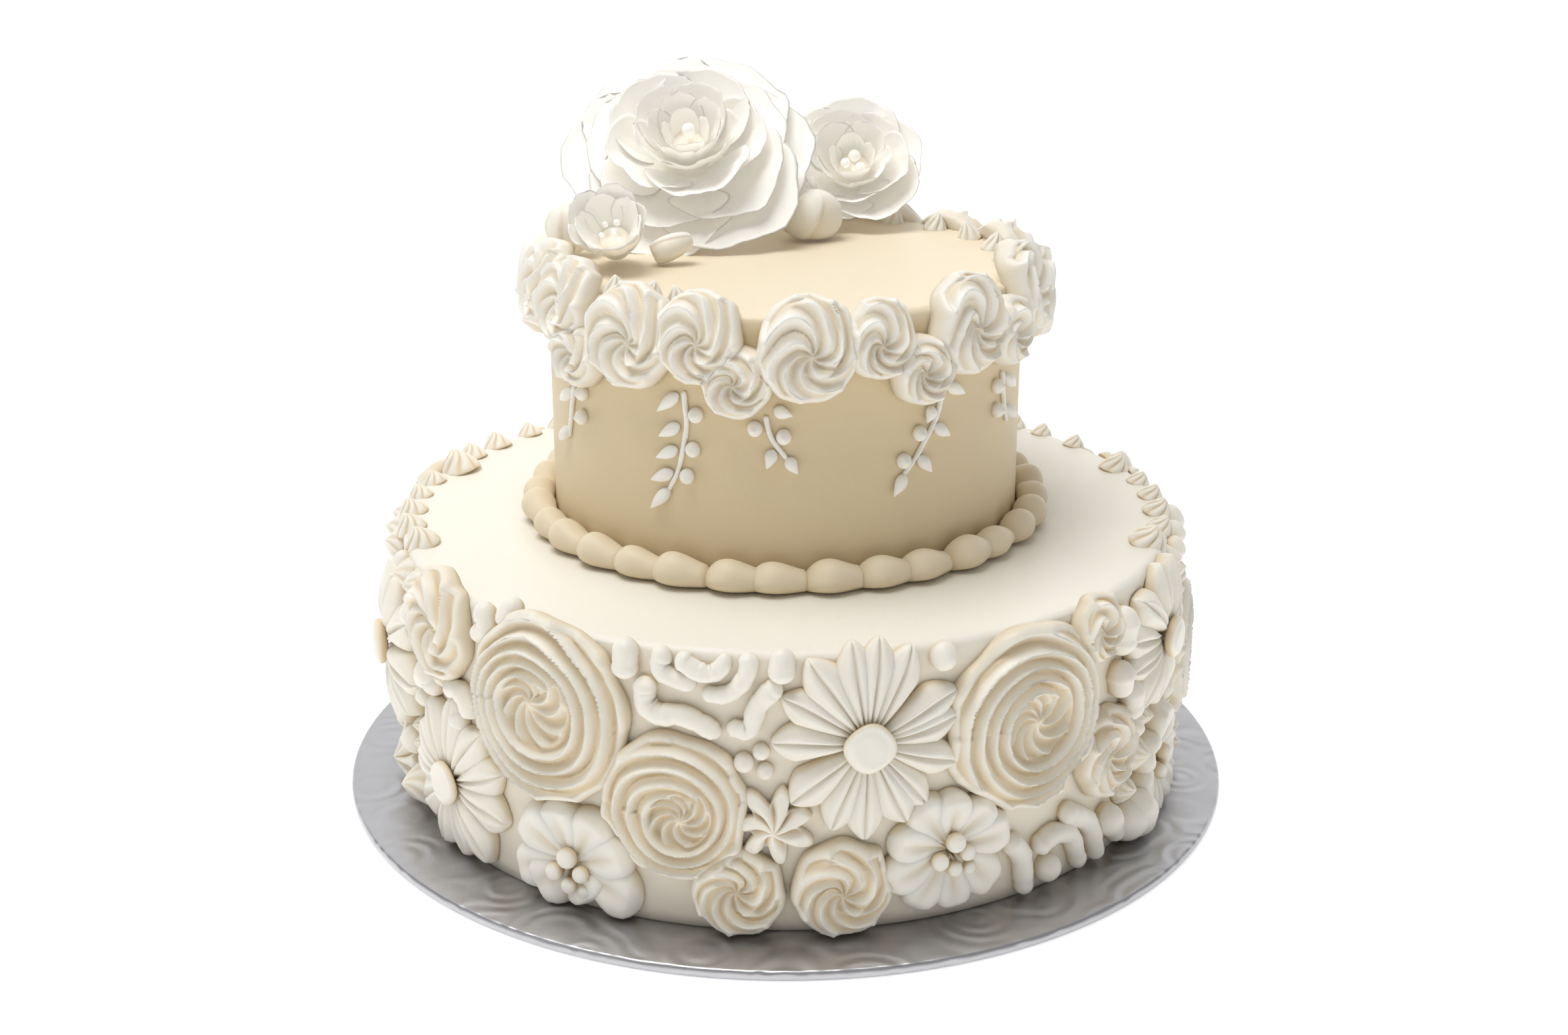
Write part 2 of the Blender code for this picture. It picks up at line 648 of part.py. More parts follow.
def make_border(material, home):
    """Makes the ring of piped beads, each with a full head and a drawn-out tail."""
    sections = BEAD_COUNT * len(BEAD_FULLNESS)
    inner = UPPER.radius + TOUCH_GAP + 0.1
    bpy.ops.mesh.primitive_torus_add(
        major_segments=sections,
        minor_segments=BEAD_SIDES,
        major_radius=1.0,
        minor_radius=0.25,
    )
    ring = bpy.context.active_object
    for vert in ring.data.vertices:
        angle = math.atan2(vert.co.y, vert.co.x)
        section = round(angle / (2.0 * math.pi) * sections) % sections
        corner = math.atan2(vert.co.z, math.hypot(vert.co.x, vert.co.y) - 1.0)
        side = round(corner / (2.0 * math.pi) * BEAD_SIDES) % BEAD_SIDES
        full = BEAD_FULLNESS[section % 3] * (1.0 + 0.05 * math.sin(2.3 * (section // 3)))
        depth = BEAD_DEPTH * full
        height = BEAD_HEIGHT * (0.25 + 0.75 * full)
        # Corners in turn: outer middle, outer top, inner top, inner foot, outer foot
        corners = [
            (inner + depth, 0.42 * height),
            (inner + 0.62 * depth, 0.92 * height),
            (inner, height * 0.98),
            (inner, 0.0),
            (inner + 0.66 * depth, 0.0),
        ]
        reach, rise = corners[side]
        turn = section / sections * 2.0 * math.pi - math.pi / 2.0
        vert.co = Vector((
            reach * math.cos(turn) * MM,
            reach * math.sin(turn) * MM,
            (LOWER.top + TOUCH_GAP + rise) * MM,
        ))
    ring.name = "bead_border"
    ring.data.name = "bead_border"
    ring.data.materials.append(material)
    ring.data.shade_smooth()
    ring.data.set_sharp_from_angle(angle=math.radians(60.0))
    for other in list(ring.users_collection):
        other.objects.unlink(ring)
    home.objects.link(ring)
    return ring


def petal(name, ring, index, home):
    """Makes one cupped petal as a thin closed solid, in the flower's own frame.

    Each petal of a ring lies a little further out than the one before, as petals
    that overlap in turn do.
    """
    angle = math.radians(ring.turn + 360.0 * index / ring.petals)
    out = PETAL_STEP * index
    bm = bmesh.new()
    wide = 3 if ring.radius > 26.0 else 2
    bmesh.ops.create_grid(bm, x_segments=wide, y_segments=2, size=1.0)
    for vert in bm.verts:
        across = vert.co.x
        along = 0.5 + 0.5 * vert.co.y
        tip_pull = 1.0 - 0.12 * across * across * along
        reach = ring.base + (ring.radius + out - ring.base) * along * tip_pull
        rise = ring.lift + ring.rise * along**1.7 + 0.16 * ring.radius * along * across**2
        rise += PETAL_LIFT * index
        half = math.radians(ring.spread) * (0.62 + 1.3 * along - 1.15 * along**2)
        turn = angle + half * across
        vert.co = Vector((reach * math.cos(turn), reach * math.sin(turn), rise)) * MM
    bm.normal_update()
    bmesh.ops.recalc_face_normals(bm, faces=bm.faces)
    bmesh.ops.solidify(bm, geom=bm.faces, thickness=PETAL_THICKNESS * MM)
    bmesh.ops.recalc_face_normals(bm, faces=bm.faces)
    mesh = bpy.data.meshes.new(name)
    bm.to_mesh(mesh)
    bm.free()
    thing = bpy.data.objects.new(name, mesh)
    home.objects.link(thing)
    return thing


def sugar_flower(name, centre, aim, core, rings, material, home):
    """Makes a sugar flower: rings of thin petals joined to a solid core."""
    bm = bmesh.new()
    bmesh.ops.create_uvsphere(bm, u_segments=6, v_segments=4, radius=core[0] * MM)
    bmesh.ops.scale(bm, vec=(1.0, 1.0, core[1] / core[0]), verts=bm.verts)
    bmesh.ops.translate(bm, vec=(0.0, 0.0, core[2] * MM), verts=bm.verts)
    flower = add_object(name, mesh_from(bm, name), material, home)
    group = topping_group(name + "_petals")
    for level, ring in enumerate(rings):
        for index in range(ring.petals):
            petal(f"petal_{level}_{index}", ring, index, group)
    fuse(flower, group)
    flower.location = Vector(centre) * MM
    flower.rotation_euler = Vector(aim).to_track_quat("Z", "Y").to_euler()
    return flower


def piped_bud(name, centre, aim, size, folds, material, home):
    """Makes a plump piped bud with winding folds that close at its tip."""
    width, depth, height = size
    columns = folds * 2
    rows = 6
    bm = bmesh.new()
    bmesh.ops.create_uvsphere(bm, u_segments=columns, v_segments=rows, radius=1.0)
    for vert in bm.verts:
        row = round(math.acos(max(-1.0, min(1.0, vert.co.z))) / math.pi * rows)
        angle = math.atan2(vert.co.y, vert.co.x) if 0 < row < rows else 0.0
        column = round(angle / (2.0 * math.pi) * columns) % columns
        fold = 1.08 if column % 2 == 0 else 0.88
        flat = math.hypot(vert.co.x, vert.co.y)
        angle += 0.5 * (1.0 - row / rows) * 2.0
        vert.co = Vector((
            flat * fold * math.cos(angle) * width,
            flat * fold * math.sin(angle) * depth,
            max(vert.co.z, -0.62) * height,
        )) * MM
    thing = add_object(name, mesh_from(bm, name), material, home)
    thing.location = Vector(centre) * MM
    thing.rotation_euler = Vector(aim).to_track_quat("Z", "Y").to_euler()
    return thing


def make_sugar_flowers(petal_white, icing_ivory, home):
    """Stands the sugar peonies and the piped buds on the top."""
    sugar_flower(
        "peony_large",
        (-32.5, 42.0, 203.0),
        (-0.04, -0.70, 0.71),
        (12.0, 19.0, -2.0),
        [
            Ring(6, 38.0, -6.5, 6.0, 11.0, 37.0, 8.0),
            Ring(5, 29.0, -1.0, 5.0, 17.0, 44.0, 30.0),
            Ring(4, 17.0, 4.0, 4.5, 17.0, 54.0, 0.0),
        ],
        petal_white,
        home,
    )
    sugar_flower(
        "peony_small",
        (24.5, 70.0, 193.0),
        (-0.05, -0.78, 0.63),
        (8.0, 12.0, 2.0),
        [
            Ring(5, 23.5, -2.5, 5.0, 15.0, 44.0, 18.0),
            Ring(4, 14.0, 3.0, 4.0, 17.0, 54.0, 54.0),
        ],
        petal_white,
        home,
    )
    sugar_flower(
        "open_bud",
        (-55.5, -6.0, 186.0),
        (-0.08, -0.74, 0.66),
        (5.5, 5.5, 0.0),
        [Ring(5, 12.5, -2.0, 3.5, 15.0, 44.0, 12.0)],
        petal_white,
        home,
    )
    piped_bud(
        "top_bud_left",
        (-70.5, 3.0, 188.5),
        (-0.35, -0.1, 0.9),
        (7.5, 8.5, 10.0),
        5,
        icing_ivory,
        home,
    )
    piped_bud(
        "top_bud_leaf",
        (-38.0, -8.5, 185.0),
        (0.8, 0.2, 0.32),
        (4.2, 4.2, 9.0),
        4,
        icing_ivory,
        home,
    )
    piped_bud(
        "top_bud_right",
        (9.0, 32.0, 187.4),
        (0.1, -0.15, 0.95),
        (11.0, 9.0, 9.5),
        5,
        icing_ivory,
        home,
    )
    piped_bud(
        "top_bud_back",
        (-4.0, 75.0, 194.0),
        (0.0, -0.2, 0.95),
        (10.0, 9.0, 18.0),
        5,
        icing_ivory,
        home,
    )


def main():
    """Builds the cake in one collection."""
    remove_everything()
    home = bpy.data.collections.new("tiered_wedding_cake")
    bpy.context.scene.collection.children.link(home)
    foil = finish("silver_foil", (0.62, 0.62, 0.66), 0.32, 1.0)
    ivory = finish("ivory_icing", (0.86, 0.82, 0.73), 0.45)
    beige = finish("beige_icing", (0.66, 0.52, 0.36), 0.48)
    white = finish("white_icing", (0.88, 0.85, 0.78), 0.42)
    petals = finish("sugar_petal", (0.9, 0.88, 0.83), 0.6)

    make_board(foil, home)
    make_lower_tier(ivory, home)
    make_upper_tier(beige, home)
    make_border(beige, home)
    for flower in LOWER_FLOWERS:
        relief_flower(flower, LOWER_FLOWERS, LOWER, ivory, home)
    for flower in RIM_SWIRLS:
        relief_flower(flower, RIM_SWIRLS, UPPER, white, home)
    make_sugar_flowers(petals, ivory, home)


main()
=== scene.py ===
"""Dresses the two-tier wedding cake: piped icing, sugar flowers, board, light and camera.

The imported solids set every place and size. Each piece here replaces one of them and
keeps its form, at the fineness of real piping: swirls drawn with an open star nozzle,
daisies and blossoms built petal by petal, thin cupped sugar petals, and a foil board.
Sizes are in millimetres up to the point where a mesh is made, and azimuths are in
degrees, 0 at the front (-Y) and growing towards +X.
"""

import logging
import math
import random
from collections.abc import Callable, Iterable
from dataclasses import dataclass
from enum import Enum

import bmesh
import bpy
import numpy as np
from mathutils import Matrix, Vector


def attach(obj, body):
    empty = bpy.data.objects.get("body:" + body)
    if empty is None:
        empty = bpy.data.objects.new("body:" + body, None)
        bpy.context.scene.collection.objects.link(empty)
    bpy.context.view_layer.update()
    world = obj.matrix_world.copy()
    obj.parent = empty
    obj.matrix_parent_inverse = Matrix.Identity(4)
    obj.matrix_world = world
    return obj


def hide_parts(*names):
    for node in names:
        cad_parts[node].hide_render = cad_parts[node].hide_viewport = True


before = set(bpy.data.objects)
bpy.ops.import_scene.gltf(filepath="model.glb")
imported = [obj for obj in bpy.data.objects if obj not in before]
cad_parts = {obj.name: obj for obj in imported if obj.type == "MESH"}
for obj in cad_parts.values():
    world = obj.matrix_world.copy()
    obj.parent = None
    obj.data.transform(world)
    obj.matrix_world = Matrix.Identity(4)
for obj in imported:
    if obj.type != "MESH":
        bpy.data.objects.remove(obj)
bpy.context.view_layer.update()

LOG = logging.getLogger("wedding_cake")
MM = 0.001
TURN = 2.0 * math.pi
BODY = "root"
# Name of the vertex layer of painted shade: 0 takes a finish's own colour, 1 its shade colour, painted
# into creases, undersides and gaps
SHADE_LAYER = "painted_shade"

Array = np.ndarray
Shape = Callable[[Array, Array], tuple[Array, Array]]


class Slot(Enum):
    """The record's material slots."""

    IVORY = "ivory_icing"
    BEIGE = "beige_icing"
    WHITE = "white_icing"
    PETAL = "sugar_petal"
    FOIL = "silver_foil"


class Kind(Enum):
    """The kinds of piped flower."""

    SWIRL = "swirl"
    DAISY = "daisy"
    BLOSSOM = "blossom"
    STAR = "star"


@dataclass(frozen=True)
class Round:
    """One iced tier, in millimetres.

    The map radius is that of the icing flowers' middle, where their widths are true.
    Icing that passes the fold height leans inwards over the tier's upper edge.
    """

    radius: float
    map_radius: float
    foot: float
    top: float
    edge: float
    fold_height: float
    fold_radius: float
    fold_most: float

    def place(self, azimuth: Array, height: Array, stand: Array) -> Array:
        """Puts points on the side of the tier.

        Args:
            azimuth: Degrees round the tier.
            height: Height above the board's underside.
            stand: Distance out of the tier's side.

        Returns:
            Their places in metres, one row each.
        """
        turn = np.radians(azimuth)
        over = np.clip(height - self.fold_height, 0.0, None)
        lean = np.minimum(over / self.fold_radius, self.fold_most)
        straight = over - lean * self.fold_radius
        arc_in = self.fold_radius * (1.0 - np.cos(lean)) + straight * np.sin(lean)
        arc_up = self.fold_radius * np.sin(lean) + straight * np.cos(lean)
        reach = self.radius - arc_in + stand * np.cos(lean)
        level = np.where(over > 0.0, self.fold_height + arc_up, height) + stand * np.sin(lean)
        return np.stack([reach * np.sin(turn), -reach * np.cos(turn), level], axis=1) * MM

    def wrap(self, centre: float, middle: float, across: Array, up: Array, stand: Array) -> Array:
        """Puts a flat drawing on the side of the tier.

        Args:
            centre: Azimuth of the drawing's centre, in degrees.
            middle: Height of the drawing's centre.
            across: Distance to the right of the centre.
            up: Distance above the centre.
            stand: Distance out of the tier's side.

        Returns:
            The places in metres, one row each.
        """
        azimuth = centre + np.degrees(across / self.map_radius)
        return self.place(azimuth, middle + up, stand)


LOWER = Round(130.0, 136.0, 3.7, 94.0, 3.2, 88.0, 16.0, 0.5)
UPPER = Round(78.4, 84.0, 94.3, 179.5, 2.4, 172.0, 15.0, 0.6)


@dataclass(frozen=True)
class Flower:
    """One piped flower: its node, kind, place, radius, arms or petals and relief."""

    node: str
    kind: Kind
    azimuth: float
    z: float
    radius: float
    count: int
    relief: float


LOWER_FLOWERS = [
    Flower("swirl_front_left", Kind.SWIRL, -33.0, 67.0, 29.5, 10, 9.5),
    Flower("swirl_front_middle", Kind.SWIRL, -14.5, 44.0, 23.2, 10, 9.0),
    Flower("swirl_foot_left", Kind.SWIRL, -6.0, 18.0, 14.2, 9, 8.5),
    Flower("swirl_foot_right", Kind.SWIRL, 7.3, 19.0, 15.5, 9, 8.5),
    Flower("swirl_front_right", Kind.SWIRL, 33.2, 64.5, 29.5, 10, 9.5),
    Flower("daisy_front", Kind.DAISY, 10.3, 66.0, 29.6, 14, 8.0),
    Flower("blossom_front_left", Kind.BLOSSOM, -29.5, 18.0, 24.5, 7, 7.0),
    Flower("blossom_front_right", Kind.BLOSSOM, 21.8, 27.5, 23.0, 8, 7.0),
    Flower("star_front", Kind.STAR, -1.5, 40.0, 13.0, 7, 8.0),
    Flower("daisy_left", Kind.DAISY, -52.5, 29.0, 28.5, 11, 8.0),
    Flower("swirl_left_rim", Kind.SWIRL, -54.5, 81.0, 17.5, 9, 8.5),
    Flower("daisy_far_left", Kind.DAISY, -75.0, 58.0, 29.5, 10, 12.0),
    Flower("star_left", Kind.STAR, -74.0, 16.5, 13.0, 7, 8.5),
    Flower("rosebud_right_rim", Kind.SWIRL, 45.5, 86.0, 10.5, 8, 8.0),
    Flower("swirl_right", Kind.SWIRL, 49.5, 42.0, 15.0, 9, 8.0),
    Flower("daisy_right", Kind.DAISY, 64.0, 70.0, 25.5, 11, 10.5),
    Flower("blossom_right", Kind.BLOSSOM, 67.5, 22.0, 20.5, 7, 8.5),
    Flower("swirl_far_right", Kind.SWIRL, 86.5, 48.0, 27.0, 10, 10.5),
    Flower("blossom_back_right", Kind.BLOSSOM, 108.0, 27.0, 25.0, 8, 7.5),
    Flower("daisy_back_right", Kind.DAISY, 111.5, 73.0, 24.5, 12, 8.0),
    Flower("swirl_back_right", Kind.SWIRL, 134.0, 52.0, 28.5, 10, 9.5),
    Flower("star_back", Kind.STAR, 152.0, 80.0, 14.0, 7, 8.0),
    Flower("blossom_back", Kind.BLOSSOM, 156.0, 32.0, 26.0, 8, 7.5),
    Flower("swirl_back", Kind.SWIRL, 174.0, 63.0, 23.5, 10, 9.0),
    Flower("daisy_back", Kind.DAISY, -162.0, 44.0, 28.0, 13, 8.5),
    Flower("swirl_back_left", Kind.SWIRL, -138.0, 56.0, 29.5, 10, 9.5),
    Flower("blossom_back_left", Kind.BLOSSOM, -114.0, 29.0, 25.5, 8, 7.5),
    Flower("swirl_left_back_rim", Kind.SWIRL, -108.0, 75.0, 20.0, 9, 9.0),
]

# Where the eye of a front swirl lies off its middle, as shares of its radius
EYES = {
    "swirl_front_left": (-0.1, 0.12),
    "swirl_front_middle": (0.14, -0.12),
    "swirl_front_right": (0.04, 0.0),
    "swirl_foot_left": (-0.04, 0.08),
    "swirl_foot_right": (0.0, -0.08),
}

# Petal tips of the front flowers, right of and above each flower's middle
TIPS = {
    "daisy_front": (
        (29.0, 4.0), (27.5, 15.5), (14.5, 28.5), (3.5, 32.0), (-6.0, 31.0), (-17.0, 27.0),
        (-24.5, 17.0), (-29.0, 2.0), (-24.0, -18.0), (-12.0, -27.5), (-1.0, -32.0),
        (12.0, -28.0), (21.5, -23.5), (29.0, -10.5),
    ),
    "blossom_front_left": (
        (-22.0, -5.0), (-18.0, 14.0), (-4.0, 21.0), (12.0, 19.5), (21.5, 9.0), (25.0, -7.0),
        (-13.0, -11.0), (8.0, -11.0),
    ),
    "blossom_front_right": (
        (-22.0, -9.0), (-20.0, 6.0), (-12.0, 17.5), (0.0, 19.5), (13.0, 15.0), (21.5, 3.5),
        (17.0, -15.0), (1.0, -20.5), (-13.0, -18.0),
    ),
}

# The swirls hung on the upper rim: azimuth, height and radius, in order from the left
RIM_PLACES = [
    (-73.0, 176.5, 13.5),
    (-57.0, 175.5, 13.0),
    (-51.5, 161.0, 10.5),
    (-35.0, 170.0, 15.5),
    (-18.3, 172.0, 13.5),
    (-10.2, 160.0, 11.0),
    (4.5, 169.5, 15.5),
    (20.0, 171.5, 11.5),
    (30.5, 161.0, 10.8),
    (43.5, 172.0, 15.0),
    (58.5, 166.0, 10.8),
    (71.5, 176.5, 14.0),
    (90.0, 168.5, 15.0),
    (111.0, 171.0, 14.5),
    (132.0, 168.5, 15.5),
    (153.0, 171.0, 14.5),
    (174.5, 168.5, 15.5),
    (-163.5, 171.0, 15.0),
    (-141.5, 168.5, 15.5),
    (-119.0, 171.0, 15.0),
    (-95.5, 168.5, 15.5),
]


def rim_flowers() -> list[Flower]:
    """Makes the rim swirls into flowers, large ones with more relief and teeth.

    Returns:
        The flowers, in order from the left.
    """
    made = []
    for number, (azimuth, z, radius) in enumerate(RIM_PLACES, start=1):
        relief = 7.6 + 0.18 * radius
        teeth = 9 if radius > 12.0 else 8
        node = f"rim_swirl_{number:02d}"
        made.append(Flower(node, Kind.SWIRL, azimuth, z, radius, teeth, relief))
    return made


def wrapped(degrees: float) -> float:
    """Brings an azimuth difference into -180 to 180."""
    return (degrees + 180.0) % 360.0 - 180.0


def unit(value: Array) -> Array:
    """Keeps values between 0 and 1."""
    return np.clip(value, 0.0, 1.0)


def smooth(low: float, high: float, value: Array) -> Array:
    """Rises smoothly from 0 at low to 1 at high."""
    share = unit((value - low) / (high - low))
    return share * share * (3.0 - 2.0 * share)


def eased(share: Array) -> Array:
    """Runs from 0 to 1 with small steps near both ends."""
    return 0.5 - 0.5 * np.cos(share * math.pi)


def rounded(value: Array) -> Array:
    """Rises from 0 to 1 as a quarter circle does."""
    return np.sqrt(unit(1.0 - (1.0 - unit(value)) ** 2))


def ripple(value: Array, seed: float) -> Array:
    """Gives a gentle unevenness, the same for each seed.

    Args:
        value: Where along it.
        seed: Which unevenness.

    Returns:
        Values between about -1 and 1.
    """
    first = np.sin(1.7 * value + 5.1 * seed)
    second = np.sin(3.1 * value + 2.3 * seed + 1.0)
    third = np.sin(5.3 * value + 7.7 * seed + 2.0)
    return (first + 0.6 * second + 0.4 * third) / 2.0


class Globe:
    """A sphere of one fineness, kept as the start of every body of that fineness."""

    kept: dict[tuple[int, int], "Globe"] = {}

    def __init__(self, columns: int, rows: int) -> None:
        """Makes the sphere and finds each point's way down it and its angle round it.

        Args:
            columns: Faces round the sphere.
            rows: Faces from pole to pole.
        """
        mesh = bmesh.new()
        mesh.verts.layers.float.new(SHADE_LAYER)
        bmesh.ops.create_uvsphere(mesh, u_segments=columns, v_segments=rows, radius=1.0)
        self.data = bpy.data.meshes.new(f"globe_{columns}_{rows}")
        mesh.to_mesh(self.data)
        mesh.free()
        points = np.array([vert.co[:] for vert in self.data.vertices])
        row = np.rint(np.arccos(np.clip(points[:, 2], -1.0, 1.0)) / math.pi * rows)
        column = np.rint(np.arctan2(points[:, 1], points[:, 0]) / TURN * columns) % columns
        column[(row == 0) | (row == rows)] = 0.0
        self.share = row / rows
        self.angle = column / columns * TURN

    @classmethod
    def of(cls, columns: int, rows: int) -> "Globe":
        """Finds the sphere of a fineness, made once.

        Args:
            columns: Faces round the sphere.
            rows: Faces from pole to pole.

        Returns:
            The sphere.
        """
        if (columns, rows) not in cls.kept:
            cls.kept[(columns, rows)] = cls(columns, rows)
        return cls.kept[(columns, rows)]

    @classmethod
    def clear(cls) -> None:
        """Removes the kept spheres."""
        for globe in cls.kept.values():
            bpy.data.meshes.remove(globe.data)
        cls.kept.clear()


class Piece:
    """Gathers closed bodies of icing, sugar or foil into one mesh."""

    def __init__(self, name: str) -> None:
        """Starts an empty piece.

        Args:
            name: The piece's name in the scene.
        """
        self.name = name
        self.mesh = bmesh.new()
        self.layer = self.mesh.verts.layers.float.new(SHADE_LAYER)

    def body(self, columns: int, rows: int, shape: Shape) -> None:
        """Adds one closed body, shaped from a sphere's rows and columns.

        Args:
            columns: Faces round the body.
            rows: Faces from pole to pole.
            shape: Takes each point's share of the way from pole to pole and its angle
            round, and gives places in metres and how much painted shade each point
            has, from 0 to 1.
        """
        globe = Globe.of(columns, rows)
        places, painted_shade = shape(globe.share, globe.angle)
        globe.data.vertices.foreach_set("co", places.astype(np.float32).ravel())
        globe.data.attributes[SHADE_LAYER].data.foreach_set("value", painted_shade.astype(np.float32))
        self.mesh.from_mesh(globe.data)

    def turned(self, outline: Iterable[tuple[float, float]], steps: int) -> None:
        """Adds a round body that stands on the cake's own axis.

        Args:
            outline: Radius and height of each point of half its outline, in millimetres.
            steps: Faces round the body.
        """
        points = [self.mesh.verts.new((radius * MM, 0.0, z * MM)) for radius, z in outline]
        edges = [self.mesh.edges.new(pair) for pair in zip(points, points[1:])]
        bmesh.ops.spin(
            self.mesh,
            geom=points + edges,
            cent=(0.0, 0.0, 0.0),
            axis=(0.0, 0.0, 1.0),
            angle=TURN,
            steps=steps,
            use_merge=True,
        )
        bmesh.ops.remove_doubles(self.mesh, verts=self.mesh.verts, dist=0.02 * MM)
        bmesh.ops.recalc_face_normals(self.mesh, faces=self.mesh.faces)

    def finish(self, finish: bpy.types.Material, slot: Slot, nodes: Iterable[str]) -> None:
        """Turns the piece into an object that rides on the cake.

        Args:
            finish: The piece's material.
            slot: The record's slot of that finish. Not used.
            nodes: The solids that the piece replaces.
        """
        data = bpy.data.meshes.new(self.name)
        self.mesh.to_mesh(data)
        self.mesh.free()
        data.shade_smooth()
        data.materials.append(finish)
        thing = bpy.data.objects.new(self.name, data)
        bpy.context.scene.collection.objects.link(thing)
        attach(thing, BODY)
        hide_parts(*nodes)
        LOG.info("%s: %d faces", self.name, len(data.polygons))


@dataclass(frozen=True)
class Walls:
    """Straight limits round a flower's centre, where its neighbours and the board begin."""

    limits: tuple[tuple[float, float, float], ...]

    @classmethod
    def of(cls, flower: Flower, others: list[Flower], tier: Round, overlap: float) -> "Walls":
        """Finds a flower's limits.

        Args:
            flower: The flower itself.
            others: Every flower on the same tier.
            tier: The tier they are on.
            overlap: How far the flower runs on into its neighbours.

        Returns:
            The limits, halfway into each overlap of two outlines.
        """
        limits = [(0.0, -1.0, flower.z - tier.foot - 0.3)]
        for other in others:
            if other is flower:
                continue
            across = math.radians(wrapped(other.azimuth - flower.azimuth)) * tier.map_radius
            up = other.z - flower.z
            apart = math.hypot(across, up)
            if apart >= flower.radius + other.radius:
                continue
            share = (apart**2 + flower.radius**2 - other.radius**2) / (2.0 * apart)
            limits.append((across / apart, up / apart, share + overlap))
        return cls(tuple(limits))

    def reach(self, angle: Array, radius: Array) -> Array:
        """Finds how far an outline gets before a wall stops it.

        Args:
            angle: Direction of each point.
            radius: Reach of the outline there.

        Returns:
            The reach inside the walls.
        """
        best = np.array(radius, dtype=float) * np.ones_like(angle)
        for right, up, distance in self.limits:
            facing = np.cos(angle) * right + np.sin(angle) * up
            free = np.where(facing > 0.001, distance / np.maximum(facing, 0.001), 1000.0)
            best = np.minimum(best, free)
        return best


